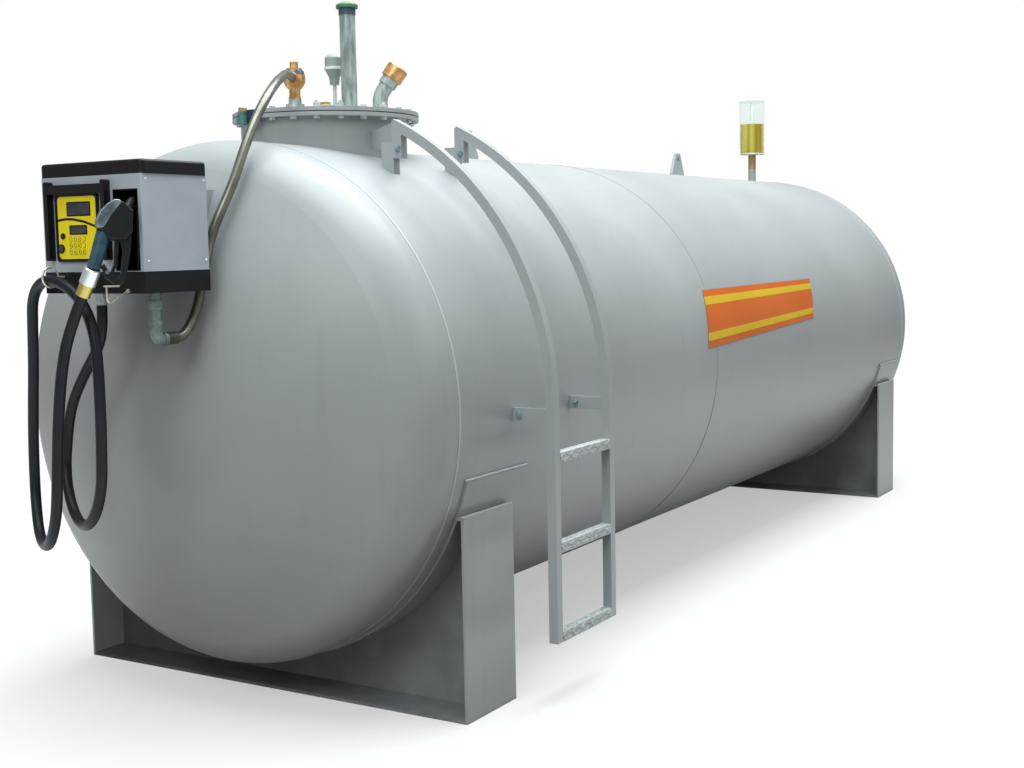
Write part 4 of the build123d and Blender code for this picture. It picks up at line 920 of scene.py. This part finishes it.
# Hose ring, nozzle rest and hose outlet: stainless wire, bent, welded and polished, that is
# screwed to the cabinet, and a zinc-plated union under its base.
# The polished wire is bright and a little warm in colour, with cloudy patches 17 mm wide.
stainless_wire, tree, shader, place = start_finish("polished_stainless_wire", 0.6, 0.3)
stain(tree, shader, place, 16.7, "D2CBBE", "EAE3D6")
for name in ("hose_hook", "nozzle_rest"):
    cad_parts[name].material_slots[0].material = stainless_wire
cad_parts["hose_outlet"].material_slots[0].material = zinc_plate

# Hose swivel: a turned brass end, crimped on the hose, under a bright zinc-plated nut.
# Both are polished by handling. Their joint is found by the distance along the swivel's axis.
swivel_metal, tree, shader, place = start_finish("brass_end_and_zinc_nut", 0.85, 0.3)
swivel_axis = (0.0928, -0.4535, 0.8864)
swivel_end, swivel_face = 1.0941, 1.1721
along_axis = add_node(
    tree,
    "ShaderNodeVectorMath",
    {1: swivel_axis},
    {0: place},
    operation="DOT_PRODUCT",
)
rise = add_node(
    tree,
    "ShaderNodeMapRange",
    {"From Min": swivel_end, "From Max": swivel_face},
    {"Value": along_axis.outputs["Value"]},
)
tones = add_node(tree, "ShaderNodeValToRGB", links={"Fac": rise.outputs["Result"]})
tones.color_ramp.interpolation = "CONSTANT"
tones.color_ramp.elements[0].color = linear("C9B765")
tones.color_ramp.elements[1].position = 0.435
tones.color_ramp.elements[1].color = linear("E2E8E8")
tree.links.new(tones.outputs["Color"], shader.inputs["Base Color"])
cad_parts["hose_swivel"].material_slots[0].material = swivel_metal

# Nozzle: a die-cast aluminium body with its guard, plastic coated in black, and a lever with its
# pin. A bare cover is screwed over its back, with a stop screw beside the lever, and a ribbed
# sleeve of dark teal rubber is pulled over the grip.
grip_start = Vector((-0.88976, -0.13737, 1.34514))
grip_across = Vector((0.797, -0.604, 0.0)).normalized()
grip_out = Vector((-0.603, -0.796, 0.054)).normalized()
grip_up = grip_out.cross(grip_across)
grip_turn = Matrix((grip_across, grip_up, grip_out)).transposed().to_4x4()
nozzle_frame = Matrix.Translation(grip_start) @ grip_turn
# The coating is half matt over the casting's skin, whose patches are 17 mm wide.
nozzle_coat, tree, shader, place = start_finish("black_coated_aluminium", 0.0, 0.45)
shader.inputs["Specular IOR Level"].default_value = 0.3
sand = stain(tree, shader, place, 16.7, "0C1011", "15191A")
relief = add_node(tree, "ShaderNodeBump", {"Strength": 0.2, "Distance": 0.0008}, {"Height": sand})
tree.links.new(relief.outputs["Normal"], shader.inputs["Normal"])
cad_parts["nozzle"].material_slots[0].material = nozzle_coat
# The bare casting is bright blue-grey metal, dulled in patches 33 mm wide.
bare_casting, tree, shader, place = start_finish("die_cast_zinc_cover", 0.75, 0.3)
stain(tree, shader, place, 33.3, "637479", "94A3A8")
cover_outline = [
    (11, 110), (11, 124), (22, 148), (40, 166), (60, 178), (74, 177), (78, 170), (64, 154),
    (50, 136), (36, 114), (30, 106), (20, 104),
]
cover = bmesh.new()
plate(cover, cover_outline, nozzle_frame, -18, 24)
bmesh.ops.bevel(
    cover,
    geom=cover.edges[:],
    offset=0.0035,
    segments=3,
    profile=0.5,
    affect="EDGES",
    material=-1,
)
add_piece("nozzle_cover", cover, bare_casting)
# The sleeve is matt rubber, paler where it is rubbed, in patches 25 mm wide.
teal_grip, tree, shader, place = start_finish("dark_teal_grip_rubber", 0.0, 0.5)
stain(tree, shader, place, 25, "1B3F4D", "275566")
grip_end = nozzle_frame @ Vector((0.031, 0.092, 0.0))
grip_along = grip_end - grip_start
grip_radius, grip_top_radius, rib_radius, rib_width = 0.0165, 0.0196, 0.0178, 0.002
first_rib, rib_share = 0.12, 0.05
grip = bmesh.new()
turned_bar(grip, grip_start, grip_along, grip_radius, grip_along.length, sides=40, tip=grip_top_radius)
for number in range(5):
    rib_at = grip_start.lerp(grip_end, first_rib + rib_share * number)
    turned_bar(grip, rib_at, grip_along, rib_radius, rib_width, sides=40)
add_piece("nozzle_grip", grip, teal_grip)
lever_outline = [(58, 76), (69, 76), (61, 10), (49, -17), (41, -14), (52, 12)]
pin_at, pin_radius, pin_end = nozzle_frame @ Vector((0.070, 0.082, 0.022)), 0.005, 0.002
lever = bmesh.new()
plate(lever, lever_outline, nozzle_frame, -5.6, 5.6)
bmesh.ops.bevel(
    lever,
    geom=lever.edges[:],
    offset=0.0015,
    segments=2,
    profile=0.5,
    affect="EDGES",
    material=-1,
)
turned_bar(lever, pin_at, grip_out, pin_radius, pin_end)
add_piece("nozzle_lever", lever, nozzle_coat)
stop_at, stop_radius, stop_height = nozzle_frame @ Vector((0.034, -0.010, 0.008)), 0.0055, 0.003
stop_screw = bmesh.new()
turned_bar(stop_screw, stop_at, grip_out, stop_radius, stop_height)
add_piece("nozzle_stop_screw", stop_screw, bare_casting)

# Ground: a plain pale studio floor, not part of the tank, that keeps its soft shadow.
# Away from the tank it fades to the white of the backdrop, for the viewer's eye alone.
floor_size, fade_start, fade_end, tank_middle_x = 40.0, 2.8, 5.0, 2.0
floor_data = bmesh.new()
bmesh.ops.create_grid(floor_data, x_segments=1, y_segments=1, size=floor_size)
floor_mesh = bpy.data.meshes.new("studio_floor")
floor_data.to_mesh(floor_mesh)
floor_data.free()
floor = bpy.data.objects.new("studio_floor", floor_mesh)
scene.collection.objects.link(floor)
floor_paint, tree, shader, place = start_finish("pale_floor", 0.0, 0.9)
shader.inputs["Specular IOR Level"].default_value = 0.1
rays = add_node(tree, "ShaderNodeLightPath")
eye = add_node(
    tree,
    "ShaderNodeMath",
    links={0: rays.outputs["Is Camera Ray"], 1: rays.outputs["Is Transmission Ray"]},
    operation="MAXIMUM",
)
seen = add_node(
    tree,
    "ShaderNodeMath",
    links={0: eye.outputs["Value"], 1: rays.outputs["Is Glossy Ray"]},
    operation="MAXIMUM",
)
floor_tone = add_node(
    tree,
    "ShaderNodeMixRGB",
    {"Color1": linear("6F6B67"), "Color2": linear("F4F5F5")},
    {"Fac": seen.outputs["Value"]},
)
tree.links.new(floor_tone.outputs["Color"], shader.inputs["Base Color"])
centred = add_node(tree, "ShaderNodeMapping", {"Location": (-tank_middle_x, 0.0, 0.0)}, {"Vector": place})
distance = add_node(tree, "ShaderNodeVectorMath", links={0: centred.outputs["Vector"]}, operation="LENGTH")
fade = add_node(
    tree,
    "ShaderNodeMapRange",
    {"From Min": fade_start, "From Max": fade_end, "To Min": 0.45},
    {"Value": distance.outputs["Value"]},
    interpolation_type="SMOOTHSTEP",
)
white_share = add_node(
    tree,
    "ShaderNodeMath",
    links={0: fade.outputs["Result"], 1: eye.outputs["Value"]},
    operation="MULTIPLY",
)
white = add_node(tree, "ShaderNodeEmission", {"Color": linear("FFFFFF"), "Strength": 1.0})
blend = add_node(
    tree,
    "ShaderNodeMixShader",
    links={0: white_share.outputs["Value"], 1: shader.outputs["BSDF"], 2: white.outputs["Emission"]},
)
tree.links.new(blend.outputs["Shader"], tree.nodes["Material Output"].inputs["Surface"])
floor_mesh.materials.append(floor_paint)

# Light: one wide soft panel overhead, weaker ones in front of the dispenser and on the ladder's
# side, all a little cool, and an even world that the viewer sees as white.
lamp_tint = (0.91, 0.975, 1.0)
for name, at, aim, size, power in (
    ("overhead_panel", (1.8, -0.7, 6.5), (1.8, 0.0, 0.9), (9.0, 5.0), 790.0),
    ("front_panel", (-6.0, -1.5, 5.0), (-0.3, 0.0, 1.4), (3.5, 3.0), 165.0),
    ("side_panel", (2.5, -7.5, 4.5), (2.0, 0.0, 1.0), (6.0, 2.5), 55.0),
):
    lamp_data = bpy.data.lights.new(name, "AREA")
    lamp_data.shape = "RECTANGLE"
    lamp_data.size, lamp_data.size_y = size
    lamp_data.energy = power
    lamp_data.color = lamp_tint
    lamp = bpy.data.objects.new(name, lamp_data)
    scene.collection.objects.link(lamp)
    aimed = (Vector(at) - Vector(aim)).to_track_quat("Z", "Y").to_matrix().to_4x4()
    lamp.matrix_world = Matrix.Translation(at) @ aimed

world = bpy.data.worlds.new("studio")
scene.world = world
world.use_nodes = True
sky = world.node_tree
sky_shade = sky.nodes["Background"]
sky_shade.inputs["Color"].default_value = linear("FFFFFF")
rays = add_node(sky, "ShaderNodeLightPath")
seen = add_node(
    sky,
    "ShaderNodeMath",
    links={0: rays.outputs["Is Camera Ray"], 1: rays.outputs["Is Transmission Ray"]},
    operation="MAXIMUM",
)
strength = add_node(
    sky,
    "ShaderNodeMapRange",
    {"To Min": 0.40, "To Max": 1.0},
    {"Value": seen.outputs["Value"]},
)
sky.links.new(strength.outputs["Result"], sky_shade.inputs["Strength"])
